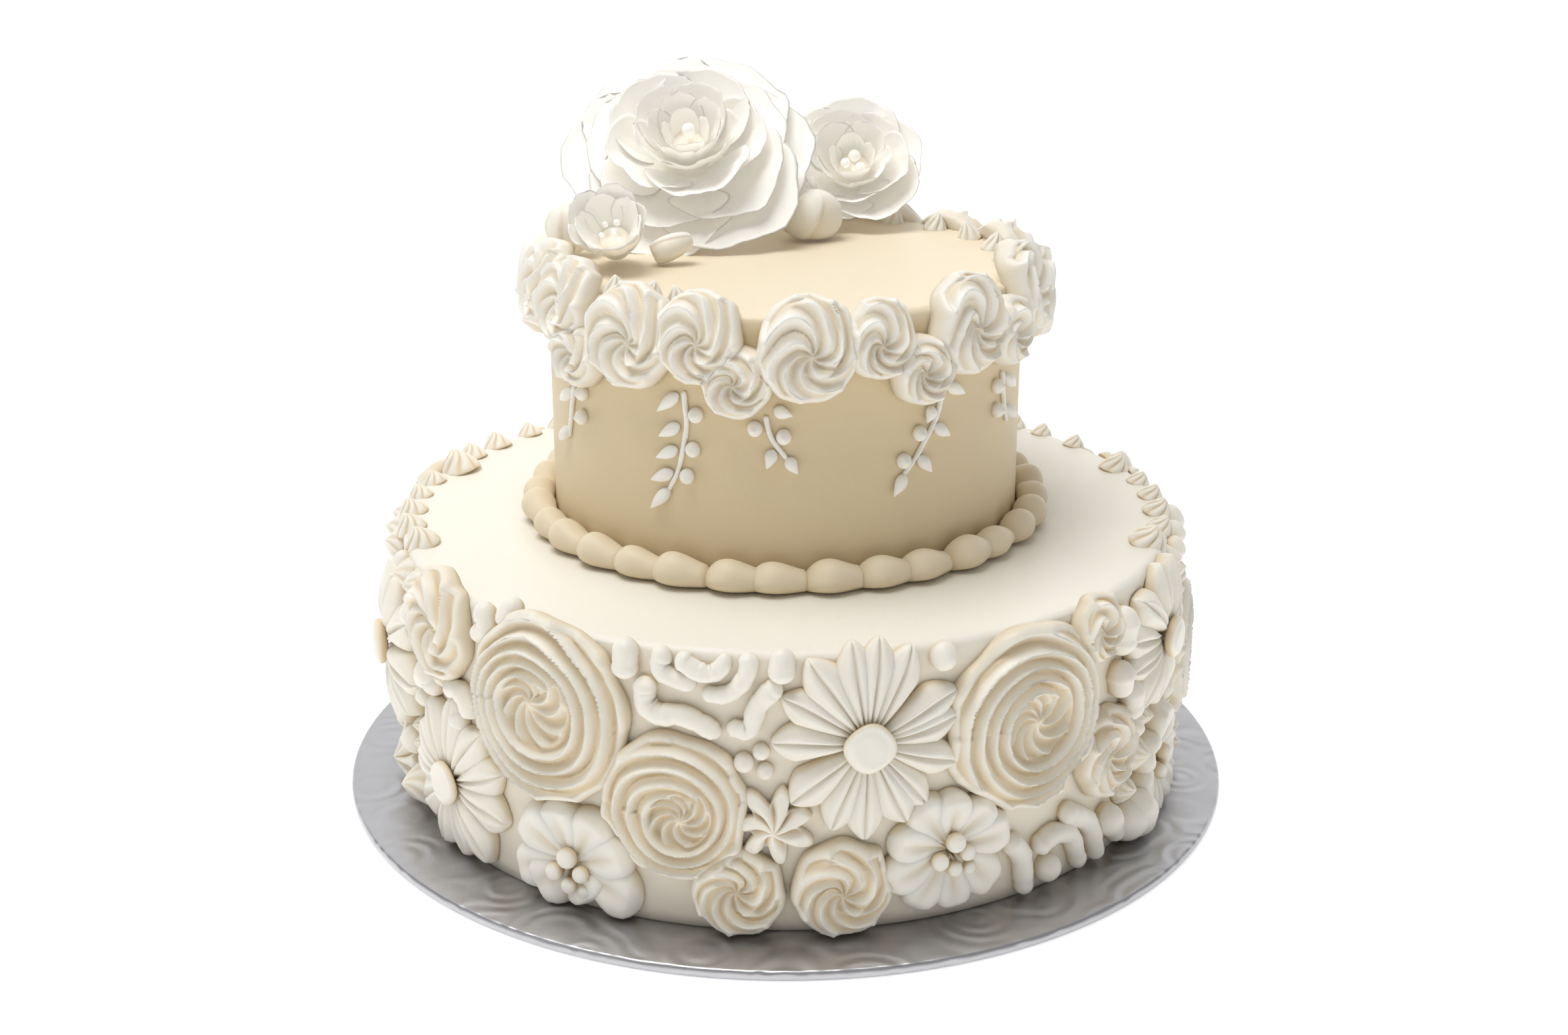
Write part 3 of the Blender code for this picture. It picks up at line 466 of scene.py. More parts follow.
@dataclass(frozen=True)
class SwirlForm:
    """The surface of a swirl from an open star nozzle.

    Its coils nest round an eye that lies off the middle, so their sharp ridges bunch
    on one side and spread on the other. The eye is sunk and finely fluted.
    """

    radius: float
    relief: float
    flutes: int
    eye_right: float
    eye_up: float
    seed: float

    def nest(self, right: Array, up: Array) -> tuple[Array, Array]:
        """Finds where places lie among the coils.

        Args:
            right: Distance to the right of the middle.
            up: Distance above it.

        Returns:
            Each place's share of the way out and its angle round the coils.
        """
        eye_x, eye_y = self.eye_right * self.radius, self.eye_up * self.radius
        apart = eye_x**2 + eye_y**2
        room = self.radius**2 - apart
        along = right * eye_x + up * eye_y - apart
        away = (right - eye_x) ** 2 + (up - eye_y) ** 2
        share = (along + np.sqrt(along**2 + room * away)) / room
        left = 1.0 - share
        return share, np.arctan2(up - eye_y * left, right - eye_x * left)

    def flute(self, phase: Array) -> Array:
        """Returns the groove between sharp ridges, 0 on a ridge and 1 in a groove."""
        leaning = phase + 0.07 * np.sin(TURN * phase)
        return (np.sqrt(np.sin(math.pi * leaning) ** 2 + 0.006) - 0.077) / 0.926

    @property
    def large(self) -> bool:
        """Returns whether the swirl is piped in several coils."""
        return self.radius > 20.0

    @property
    def starts(self) -> int:
        """Returns how many ridges leave the eye."""
        return self.flutes - 2

    def phase(self, share: Array, angle: Array) -> Array:
        """Counts ridges: they leave the eye and wind outwards more and more.

        Args:
            share: Share of the way out.
            angle: Angle round the coils.

        Returns:
            The number of ridges passed.
        """
        wound = 4.3 * share**1.55 if self.large else 2.7 * share**1.45
        sway = 0.14 * ripple(angle, self.seed) * share * (0.5 + 0.5 * np.cos(angle - 2.6))
        return self.starts * angle / TURN - wound + sway

    def surface(self, right: Array, up: Array) -> tuple[Array, Array]:
        """Finds the swirl's surface.

        Args:
            right: Distance to the right of the middle.
            up: Distance above it.

        Returns:
            The height, and the painted shade there in the grooves, the sunk eye and at each coil's step.
        """
        if self.large:
            return self.coiled(right, up)
        share, angle = self.nest(right, up)
        phase = self.phase(share, angle)
        groove = self.flute(phase)
        ridge = np.floor(phase + 0.5)
        uneven = 1.0 + 0.22 * np.sin(2.4 * np.mod(ridge, self.starts) + self.seed)
        deep = (0.064 * self.radius + 1.3) * uneven
        deep = deep * unit(share / 0.3) ** 0.8
        deep = deep * (1.0 - 0.35 * smooth(0.85, 1.05, share))
        coil = 1.45 * share - (angle - 0.8) / TURN
        lap = coil - np.floor(coil)
        lap = np.where(lap < 0.9, lap / 0.9, (1.0 - lap) / 0.1)
        lift = 0.19 * self.relief * lap * smooth(0.25, 0.5, share) * (1.0 - smooth(0.9, 1.02, share))
        edge = unit((share - 0.6) / 0.45)
        dome = self.relief * (0.64 + 0.3 * smooth(0.05, 0.5, share) - 0.5 * edge**2.4)
        knob = 0.1 * self.relief * np.exp(-((share / 0.08) ** 2))
        height = dome + lift + knob - deep * groove
        # Painted shade: deep in the grooves, over the sunk eye, and at the step of each coil
        crease_shade = 0.85 * groove**4 + 0.25 * (1.0 - smooth(0.05, 0.35, share))
        crease_shade = crease_shade + 0.25 * (1.0 - lap) * smooth(0.3, 0.5, share) * (lap < 0.3)
        return height, unit(crease_shade)

    def coiled(self, right: Array, up: Array) -> tuple[Array, Array]:
        """Finds the surface of a large swirl: a fluted eye inside a wide outer coil.

        Args:
            right: Distance to the right of the middle.
            up: Distance above it.

        Returns:
            The height, and the painted shade there in the eye and in the grooves.
        """
        share, angle = self.nest(right, up)
        along = (angle - 0.8) / TURN
        along = along - np.floor(along)
        rim = 0.3 + 0.15 * along
        inward = np.clip(share / rim, 0.0, 1.3)
        eye_flute = self.flute(self.starts * angle / TURN - 1.5 * inward**1.4)
        sunk = self.relief * (0.56 + 0.26 * inward**2)
        inner = sunk - (0.6 + 2.4 * unit(inward)) * eye_flute * smooth(0.02, 0.4, inward)
        inner = inner + 0.1 * self.relief * np.exp(-((inward / 0.2) ** 2))
        sway = 0.22 * ripple(angle, self.seed) * share
        phase = self.radius / 4.9 * (share - 0.45) / 0.86 - 2.0 * (angle - 0.8) / TURN + sway
        groove = self.flute(phase)
        uneven = 1.0 + 0.2 * np.sin(1.9 * np.floor(phase + 0.5) + 2.0 * angle + self.seed)
        deep = (0.07 * self.radius + 1.5) * uneven * (1.0 - 0.35 * smooth(0.85, 1.05, share))
        edge = unit((share - 0.6) / 0.45)
        outer = self.relief * (1.0 - 0.5 * edge**2.2) - deep * groove
        mix = smooth(rim - 0.02, rim + 0.035, share)
        height = inner * (1.0 - mix) + outer * mix
        # Painted shade: over the eye, deeper in its flutes, and in the outer coil's grooves
        crease_shade = (1.0 - mix) * (0.15 + 0.8 * eye_flute**4) + mix * 0.95 * groove**4
        return height, unit(crease_shade)

    def outline(self, angle: Array) -> Array:
        """Finds how far the icing reaches, with its pulled-off tip.

        Args:
            angle: Direction of each point.

        Returns:
            The reach in millimetres.
        """
        tip = np.exp(-(((angle - 0.75) / 0.15) ** 2)) * 0.07
        ridges = np.cos(TURN * self.phase(np.ones_like(angle), angle))
        return self.radius * (1.02 + tip + 0.022 * ridges + 0.015 * ripple(angle, self.seed))


@dataclass(frozen=True)
class PetalBuild:
    """Sizes of one piped petal, in millimetres and radians."""

    start: float
    length: float
    half_width: float
    height: float
    tilt: float
    bend: float
    pointed: bool

    def width_at(self, along: Array) -> Array:
        """Finds how wide the petal is.

        Args:
            along: Shares of the petal's length.

        Returns:
            Shares of its full width.
        """
        if self.pointed:
            body = (0.12 + 0.88 * unit(along / 0.7) ** 0.9) * (along > 0.0)
            tip = unit((1.0 - along) / 0.34)
            return body * np.sin(0.5 * math.pi * tip) ** 0.72
        body = np.sin(math.pi / 2.0 * unit(along / 0.66)) ** 1.1
        tip = np.sqrt(unit(1.0 - (unit(along - 0.62) / 0.38) ** 2))
        return body * tip

    def height_at(self, along: Array) -> Array:
        """Finds how high the petal is.

        Args:
            along: Shares of the petal's length.

        Returns:
            Shares of its full height.
        """
        if self.pointed:
            end = unit((1.0 - along) / 0.05) ** 0.5
            return (0.6 + 0.4 * np.sin(math.pi * along**0.8)) * end
        end = np.sqrt(unit((1.0 - along) / 0.16))
        return (0.42 + 0.58 * smooth(0.1, 0.7, along)) * end

    def section(self, aside: Array, along: Array) -> tuple[Array, Array]:
        """Finds the petal's relief across its width.

        Args:
            aside: Places across it, from -1 to 1.
            along: Shares of its length.

        Returns:
            Shares of its height, and the painted shade in its creases.
        """
        if self.pointed:
            vein = np.exp(-((aside / 0.13) ** 2)) * (1.0 - 0.45 * along)
            step = 0.5 + 0.5 * np.cos(TURN * 1.5 * np.abs(aside) + 0.6)
            # Painted shade along the vein and in the side steps
            return 1.0 - 0.34 * vein - 0.1 * step, 0.4 * vein + 0.1 * step
        fold = np.exp(-((aside / 0.2) ** 2)) * (1.0 - smooth(0.35, 0.95, along))
        flutes = 0.05 * np.cos(9.0 * aside) * (1.0 - along)
        dish = 0.16 * np.exp(-((aside / 0.55) ** 2)) * smooth(0.3, 0.6, along)
        # Painted shade in the fold down the middle
        return 1.0 - 0.34 * fold - dish + flutes, 0.5 * fold


@dataclass(frozen=True)
class KnobBuild:
    """How a round knob of icing stands on a flower."""

    low: float
    height: float
    flatness: float
    squareness: float
    curl: float
    columns: int
    rows: int


@dataclass(frozen=True)
class PipedFlowers:
    """The flowers that lie on one tier's side, and how they are piped.

    The daisies and blossoms scale from the radius and relief that they are drawn at.
    """

    tier: Round
    flowers: list[Flower]
    finish: bpy.types.Material
    slot: Slot
    side_rows: int = 6
    back_rows: int = 2
    overlap: float = 1.1
    daisy_radius: float = 29.6
    daisy_relief: float = 8.0
    blossom_radius: float = 24.0

    def build(self) -> None:
        """Pipes every flower as a piece of its own."""
        makers = {
            Kind.SWIRL: self.swirl,
            Kind.DAISY: self.daisy,
            Kind.BLOSSOM: self.blossom,
            Kind.STAR: self.star,
        }
        for number, flower in enumerate(self.flowers):
            piece = Piece("piped_" + flower.node)
            makers[flower.kind](piece, flower, number)
            piece.finish(self.finish, self.slot, [flower.node])

    def relief(
        self,
        piece: Piece,
        flower: Flower,
        columns: int,
        front_rows: int,
        surface: Callable[[Array, Array], tuple[Array, Array]],
        outline: Callable[[Array], Array],
    ) -> None:
        """Adds a closed relief whose edge rolls down to the tier's side.

        Args:
            piece: The piece that takes it.
            flower: The flower it belongs to.
            columns: Faces round the flower.
            front_rows: Faces from the centre to where the edge rolls down.
            surface: Gives height and painted shade at places right of and above the centre.
            outline: Gives the reach at each angle.
        """
        walls = Walls.of(flower, self.flowers, self.tier, self.overlap)
        rows = front_rows + self.side_rows + self.back_rows

        def shape(share: Array, angle: Array) -> tuple[Array, Array]:
            """Gives the places and painted shade of the relief, its rolled edge and its back."""
            row = np.rint(share * rows)
            reach = walls.reach(angle, outline(angle))
            roll = np.minimum(2.6, 0.2 * reach)
            front = row <= front_rows
            side = (row > front_rows) & (row <= front_rows + self.side_rows)
            fall = unit((row - front_rows) / self.side_rows) * math.pi / 2.0
            back = unit((row - front_rows - self.side_rows) / self.back_rows)
            out = (reach - roll) * np.minimum(row / front_rows, 1.0)
            out = np.where(side, reach - roll + roll * np.sin(fall), out)
            out = np.where(front | side, out, reach * (1.0 - back))
            right = out * np.cos(angle)
            up = out * np.sin(angle)
            edge = np.where(front, 1.0, (reach - roll) / np.maximum(out, 0.001))
            height, painted_shade = surface(right * edge, up * edge)
            height = np.where(side, 0.3 + (height - 0.3) * np.cos(fall) ** 0.75, height)
            stand = np.where(front | side, np.maximum(height, 0.3), 0.2)
            # Painted shade grows as the edge rolls down to the tier, where it lies in shade
            painted_shade = np.where(front, painted_shade, unit(0.05 + 0.6 * np.sin(fall) ** 2))
            return self.tier.wrap(flower.azimuth, flower.z, right, up, stand), painted_shade

        piece.body(columns, rows, shape)

    def swirl(self, piece: Piece, flower: Flower, number: int) -> None:
        """Pipes a swirl with an open star nozzle.

        Args:
            piece: The piece that takes it.
            flower: The flower.
            number: Its place in the list, which sets how it turns and varies.
        """
        eye_right, eye_up = EYES.get(flower.node, (0.1 * math.sin(2.1 * number + 1.0), -0.05))
        form = SwirlForm(flower.radius, flower.relief, flower.count, eye_right, eye_up, number)
        columns, front_rows = (208, 72) if form.large else (136, 44)
        self.relief(piece, flower, columns, front_rows, form.surface, form.outline)

    def star(self, piece: Piece, flower: Flower, number: int) -> None:
        """Pipes a drop star with a pulled-up middle.

        Args:
            piece: The piece that takes it.
            flower: The flower.
            number: Its place in the list, which sets how it turns and varies.
        """
        points = flower.count

        def winding(right: Array, up: Array) -> tuple[Array, Array]:
            """Gives the share of the way out and how near a crest each place is."""
            out = np.hypot(right, up)
            share = unit(out / flower.radius)
            angle = np.arctan2(up, right) + 0.5 * (1.0 - share) ** 2
            return share, np.abs(np.cos(0.5 * points * angle + number))

        def surface(right: Array, up: Array) -> tuple[Array, Array]:
            """Gives the star's height and the painted shade in its grooves at places on it."""
            share, crest = winding(right, up)
            peak = flower.relief * (0.34 + 0.66 * (1.0 - share) ** 1.15)
            groove = 0.62 * peak * (1.0 - crest) ** 1.1 * smooth(0.02, 0.4, share)
            # Painted shade in the grooves between the star's points
            return peak - groove, unit((1.0 - crest) ** 2 * 1.2)

        def outline(angle: Array) -> Array:
            """Gives the star's reach at each angle."""
            crest = np.abs(np.cos(0.5 * points * angle + number))
            uneven = 1.0 + 0.06 * ripple(angle, number)
            return flower.radius * (0.52 + 0.52 * crest**1.5) * uneven

        self.relief(piece, flower, 112, 26, surface, outline)

    def petal(
        self,
        piece: Piece,
        flower: Flower,
        walls: Walls,
        angle: float,
        build: PetalBuild,
    ) -> None:
        """Adds one piped petal that lies on the tier's side.

        Args:
            piece: The piece that takes it.
            flower: The flower it belongs to.
            walls: The flower's limits.
            angle: Direction of the petal, anticlockwise from the right.
            build: The petal's sizes.
        """
        reach = max(8.0, float(walls.reach(np.array([angle]), build.length)[0]))

        def shape(share: Array, around: Array) -> tuple[Array, Array]:
            """Gives the petal's places and painted shade."""
            along = eased(share)
            width = build.half_width * build.width_at(along)
            aside = np.cos(around)
            across = width * aside
            top = np.sin(around) >= -0.01
            full = np.sqrt(unit(1.0 - np.abs(aside) ** 2.6))
            rise = build.height_at(along) * build.height
            shaped, crease_shade = build.section(aside, along)
            stand = np.where(top, 0.4 + rise * full * shaped, 0.2)
            stand = stand + build.tilt * aside * np.sin(math.pi * along) * top
            bent = angle + build.bend * along**2
            out = build.start + (reach - build.start) * along
            right = out * np.cos(bent) - across * math.sin(angle)
            up = out * np.sin(bent) + across * math.cos(angle)
            up = np.maximum(up, self.tier.foot + 0.4 - flower.z)
            # Painted shade on the petal's flanks, over its underside, and at its foot by the flower's
            # middle
            low = unit(1.0 - full * 1.4)
            painted_shade = np.where(top, unit(crease_shade + low), 1.0)
            painted_shade = unit(painted_shade + 0.6 * (1.0 - smooth(0.0, 0.2, along)))
            return self.tier.wrap(flower.azimuth, flower.z, right, up, np.maximum(stand, 0.2)), painted_shade

        piece.body(40, 30, shape)

    def knob(
        self, piece: Piece, flower: Flower, right: float, up: float, radius: float, build: KnobBuild
    ) -> None:
        """Adds a round knob of icing at a place on the flower.

        Args:
            piece: The piece that takes it.
            flower: The flower it belongs to.
            right: Distance to the right of the flower's centre.
            up: Distance above it.
            radius: The knob's radius.
            build: How the knob stands.
        """

        def shape(share: Array, around: Array) -> tuple[Array, Array]:
            """Gives the knob's places and painted shade."""
            polar = share * math.pi
            square = 1.0 + build.squareness * np.cos(4.0 * around + 0.5)
            out = radius * np.sin(polar) ** build.flatness * square
            lift = build.low + build.height * (0.5 + 0.5 * np.cos(polar))
            curl = build.curl * np.cos(around - 9.0 * np.sin(polar)) * np.sin(2.0 * polar)
            lift = lift + np.where(polar < math.pi / 2.0, curl, 0.0)
            flat_right = right + out * np.cos(around)
            flat_up = up + out * np.sin(around)
            places = self.tier.wrap(flower.azimuth, flower.z, flat_right, flat_up, lift)
            # Painted shade on the knob's lower half, round its foot
            return places, smooth(0.75, 1.7, polar)

        piece.body(build.columns, build.rows, shape)

    def tips(
        self, flower: Flower, number: int, chance: random.Random, spread: float
    ) -> list[tuple[float, float]]:
        """Returns the direction and length of each petal of a flower.

        Args:
            flower: The flower.
            number: Its place in the list, which turns it.
            chance: The source of its unevenness.
            spread: How unevenly its petals are spaced.

        Returns:
            Angles in radians and lengths in millimetres.
        """
        if flower.node in TIPS:
            return [(math.atan2(up, right), math.hypot(right, up)) for right, up in TIPS[flower.node]]
        made = []
        for index in range(flower.count):
            place = index + chance.uniform(-spread, spread)
            angle = TURN * place / flower.count + 0.35 + 0.7 * number
            made.append((angle, flower.radius * chance.uniform(0.94, 1.06)))
        return made

    def daisy(self, piece: Piece, flower: Flower, number: int) -> None:
        """Pipes pointed, veined petals round a flat domed disc.

        Args:
            piece: The piece that takes it.
            flower: The flower.
            number: Its place in the list, which sets how it turns and varies.
        """
        chance = random.Random(100 + number)
        walls = Walls.of(flower, self.flowers, self.tier, 2.0)
        scale = flower.radius / self.daisy_radius
        tall = flower.relief / self.daisy_relief
        for index, (angle, length) in enumerate(self.tips(flower, number, chance, 0.14)):
            half_width = flower.radius * 0.7 * math.tan(math.pi / flower.count) * 1.34
            build = PetalBuild(
                start=3.0 * scale,
                length=length,
                half_width=half_width * chance.uniform(0.92, 1.08),
                height=(5.6 + 0.5 * (index % 2)) * tall * chance.uniform(0.94, 1.04),
                tilt=chance.uniform(-0.8, 0.8),
                bend=chance.uniform(-0.07, 0.07),
                pointed=True,
            )
            self.petal(piece, flower, walls, angle, build)
        disc = KnobBuild(
            low=5.0 * tall, height=3.4 * tall, flatness=0.5, squareness=0.035, curl=0.2,
            columns=56, rows=30,
        )
        self.knob(piece, flower, 0.0, 0.0, 7.7 * scale, disc)

    def blossom(self, piece: Piece, flower: Flower, number: int) -> None:
        """Pipes round, smooth petals with pearls in the middle.

        Args:
            piece: The piece that takes it.
            flower: The flower.
            number: Its place in the list, which sets how it turns and varies.
        """
        chance = random.Random(200 + number)
        walls = Walls.of(flower, self.flowers, self.tier, 3.0)
        for angle, length in self.tips(flower, number, chance, 0.1):
            half_width = flower.radius * 0.68 * math.tan(math.pi / flower.count) * 1.12
            build = PetalBuild(
                start=1.5,
                length=length,
                half_width=half_width * chance.uniform(0.95, 1.1),
                height=flower.relief * chance.uniform(0.84, 0.98),
                tilt=chance.uniform(-0.7, 0.7),
                bend=chance.uniform(-0.08, 0.08),
                pointed=False,
            )
            self.petal(piece, flower, walls, angle, build)
        scale = flower.radius / self.blossom_radius
        spots = [(0.5, 3.4, 3.3), (-4.6, -2.6, 2.9), (4.9, -1.2, 2.7), (0.6, -6.0, 2.6), (6.0, -6.8, 2.1)]
        for right, up, radius in spots:
            pearl = KnobBuild(
                low=0.36 * flower.relief, height=1.6 * radius, flatness=0.75, squareness=0.0,
                curl=0.0, columns=24, rows=14,
            )
            self.knob(piece, flower, right * scale, up * scale, radius * scale, pearl)


@dataclass(frozen=True)
class Strand:
    """One piped strand: bends by azimuth and height, half width and end taper."""

    bends: tuple[tuple[float, float], ...]
    half_width: float
    taper: float = 0.85


@dataclass(frozen=True)
class IcedTier:
    """A tier's iced round and the way its small toppings are piped."""

    tier: Round
    finish: bpy.types.Material
    slot: Slot
    steps: int = 240

    def profile(self) -> list[tuple[float, float]]:
        """Draws half the round's outline.

        Returns:
            Radius and height of each point, from the middle of the top to that of the foot.
        """
        tier = self.tier
        edge = tier.edge
        points = [(radius, tier.top) for radius in np.linspace(0.0, tier.radius - edge, 26)]
        for angle in np.linspace(0.0, math.pi / 2.0, 9)[1:]:
            points.append((
                tier.radius - edge + edge * math.sin(angle),
                tier.top - edge + edge * math.cos(angle),
            ))
        low = tier.foot
        points += [(tier.radius, z) for z in np.linspace(tier.top - edge, low, 24)[1:]]
        points += [(radius, low) for radius in np.linspace(tier.radius, 0.0, 6)[1:]]
        return points

    def icing(self, name: str, node: str, side_shade: float, unevenness: float) -> None:
        """Turns the iced round.

        Args:
            name: The piece's name.
            node: The solid it replaces.
            side_shade: How strongly the side is painted with shade, up to just below its rounded top edge.
            unevenness: Depth of the spatula's marks.
        """
        piece = Piece(name)
        piece.turned(self.profile(), self.steps)
        tier = self.tier
        for vert in piece.mesh.verts:
            x, y, z = vert.co / MM
            out = math.hypot(x, y)
            turn = math.atan2(x, -y)
            wave = math.sin(5.0 * turn + 0.05 * z) + 0.6 * math.sin(11.0 * turn - 0.09 * z + 2.0)
            swell = math.sin(0.09 * x + 0.4) * math.sin(0.08 * y - 0.8)
            on_side = out > tier.radius - 0.5 * tier.edge and z < tier.top - 0.5 * tier.edge
            if on_side and out > 0.0:
                stretch = 1.0 - unevenness * (1.0 + 0.5 * wave) / out
                vert.co.x *= stretch
                vert.co.y *= stretch
            elif z > tier.top - tier.edge:
                vert.co.z -= unevenness * (1.0 + swell) * MM
            # Painted shade on the side, fading out towards the top edge, so the side reads darker than the
            # lit top
            vert[piece.layer] = side_shade * min(1.0, max(0.0, (tier.top - z - 1.0) / 5.0))
        piece.finish(self.finish, self.slot, [node])

    def strand(self, piece: Piece, strand: Strand) -> None:
        """Adds a piped strand with round ends, half sunk in the tier's side.

        Args:
            piece: The piece that takes it.
            strand: Its course and size.
        """
        bends = np.array(strand.bends)
        legs = np.hypot(
            np.radians(np.diff(bends[:, 0])) * self.tier.map_radius, np.diff(bends[:, 1])
        )
        stops = np.concatenate([[0.0], np.cumsum(legs)])
        total = max(float(stops[-1]), 0.1)

        def shape(share: Array, around: Array) -> tuple[Array, Array]:
            """Gives the strand's places and painted shade."""
            polar = share * math.pi
            wide = strand.half_width * (1.5 if strand.half_width > 1.5 else 1.1)
            whole = total + 2.0 * wide
            at = -wide + whole * eased(share)
            near = np.minimum(at + wide, whole - (at + wide))
            size = wide * rounded(near / wide) * (1.0 + (strand.taper - 1.0) * unit(at / total))
            size = size * (1.0 + 0.08 * ripple(0.5 * at, strand.bends[0][0]))
            step = 0.1
            azimuth, z = self._along(bends, stops, at)
            ahead_az, ahead_z = self._along(bends, stops, at + step)
            run = np.radians(ahead_az - azimuth) * self.tier.map_radius
            climb = ahead_z - z
            length = np.maximum(np.hypot(run, climb), 1e-6)
            aside = np.cos(around) * size
            lift = np.sin(around) * size
            across_az = azimuth + np.degrees(-climb / length * aside / self.tier.map_radius)
            across_z = z + run / length * aside
            stand = 0.45 * wide + lift * 1.05
            # Painted shade on the strand's underside, against the tier
            return self.tier.place(across_az, across_z, stand), smooth(0.35, -0.5, np.sin(around))

        piece.body(20, 10 * len(strand.bends), shape)

    @staticmethod
    def _along(bends: Array, stops: Array, at: Array) -> tuple[Array, Array]:
        """Reads a softened path by distance, run on straight past both ends.

        Args:
            bends: Azimuth and height of each bend.
            stops: Distance of each bend from the first.
            at: The distances to read.

        Returns:
            The azimuths and the heights.
        """
        inner = np.clip(at, stops[0], stops[-1])
        total = 0.0
        azimuth = np.zeros_like(at)
        z = np.zeros_like(at)
        for offset, weight in ((-3.4, 1.0), (-1.7, 2.0), (0.0, 2.4), (1.7, 2.0), (3.4, 1.0)):
            spot = np.clip(inner + offset, stops[0], stops[-1])
            azimuth = azimuth + weight * np.interp(spot, stops, bends[:, 0])
            z = z + weight * np.interp(spot, stops, bends[:, 1])
            total += weight
        azimuth, z = azimuth / total, z / total
        first = (bends[1] - bends[0]) / max(stops[1] - stops[0], 0.1)
        final = (bends[-1] - bends[-2]) / max(stops[-1] - stops[-2], 0.1)
        before = np.minimum(at - stops[0], 0.0)
        beyond = np.maximum(at - stops[-1], 0.0)
        azimuth = azimuth + before * first[0] + beyond * final[0]
        z = z + before * first[1] + beyond * final[1]
        return azimuth, z

    def pearl(self, piece: Piece, azimuth: float, z: float, radius: float, peak: float) -> None:
        """Adds a pearl of icing with a small peak where the nozzle left it.

        Args:
            piece: The piece that takes it.
            azimuth: Its azimuth.
            z: Its height.
            radius: Its radius.
            peak: Height of its peak.
        """
        columns, rows = (24, 14) if radius > 2.4 else (16, 10)

        def shape(share: Array, around: Array) -> tuple[Array, Array]:
            """Gives the pearl's places and painted shade."""
            polar = share * math.pi
            out = radius * np.sin(polar)
            stand = 0.3 * radius + radius * np.cos(polar)
            stand = stand + peak * np.exp(-((polar / 0.3) ** 2))
            azimuths = azimuth + np.degrees(out * np.cos(around) / self.tier.map_radius)
            # Painted shade on the pearl's lower half
            return self.tier.place(azimuths, z + out * np.sin(around), stand), smooth(1.0, 2.0, polar)

        piece.body(columns, rows, shape)

    def leaf(
        self, piece: Piece, base: tuple[float, float], tip: tuple[float, float], half_width: float
    ) -> None:
        """Adds a small pointed leaf that stands a little off the side at its tip.

        Args:
            piece: The piece that takes it.
            base: Azimuth and height of its base.
            tip: Azimuth and height of its tip.
            half_width: Half its width.
        """
        run = math.radians(tip[0] - base[0]) * self.tier.map_radius
        climb = tip[1] - base[1]
        length = math.hypot(run, climb)

        def shape(share: Array, around: Array) -> tuple[Array, Array]:
            """Gives the leaf's places and painted shade."""
            along = eased(share)
            width = half_width * np.sin(math.pi * along**0.72) ** 0.9 * (1.0 - 0.25 * along)
            aside = np.cos(around) * width
            stand = 0.5 + 1.3 * along + np.sin(around) * width * 0.95
            right = run * along - climb / length * aside
            up = climb * along + run / length * aside
            # Painted shade on the leaf's underside
            return self.tier.wrap(*base, right, up, stand), smooth(0.2, -0.6, np.sin(around))

        piece.body(16, 14, shape)


@dataclass(frozen=True)
class Kiss:
    """A drop of icing that a star nozzle leaves: radius, height, points and twist."""

    radius: float
    height: float
    points: int
    twist: float
    depth: float = 0.3
    fineness: int = 8

    def add(self, piece: Piece, centre: Iterable[float], aim: Iterable[float]) -> None:
        """Adds the drop to a piece.

        Args:
            piece: The piece that takes it.
            centre: The middle of its foot, in millimetres.
            aim: The direction of its peak.
        """
        columns, rows = max(30, self.points * self.fineness), 2 * self.fineness + 4

        def shape(share: Array, around: Array) -> tuple[Array, Array]:
            """Gives the drop's places and painted shade."""
            down = unit(share / 0.8)
            under = unit((share - 0.8) / 0.2)
            angle = around + self.twist * (1.0 - down) ** 2
            crest = np.abs(np.cos(0.5 * self.points * around))
            groove = self.depth * (1.0 - crest) * np.sin(math.pi * down**0.8)
            out = self.radius * np.sin(0.5 * math.pi * down) ** 0.85 * (1.0 - groove)
            out = out * (1.0 - under)
            rise = self.height * (1.0 - down) ** 1.1 - 0.6 * np.sin(math.pi * under)
            flat = np.stack([out * np.cos(angle), out * np.sin(angle), rise], axis=1)
            # Painted shade in the grooves and round the foot
            painted_shade = unit((1.0 - crest) ** 2 + 0.5 * smooth(0.6, 0.8, share))
            return placed(flat, centre, aim), painted_shade

        piece.body(columns, rows, shape)


def placed(points: Array, centre: Iterable[float], aim: Iterable[float]) -> Array:
    """Stands points on a centre, turned so that their +Z faces along aim.

    Args:
        points: Places in millimetres, one row each.
        centre: Where their origin goes, in millimetres.
        aim: The direction that their +Z takes.

    Returns:
        The places in metres.
    """
    turn = np.array(Vector(aim).to_track_quat("Z", "Y").to_matrix())
    return (points @ turn.T + np.array(list(centre))) * MM


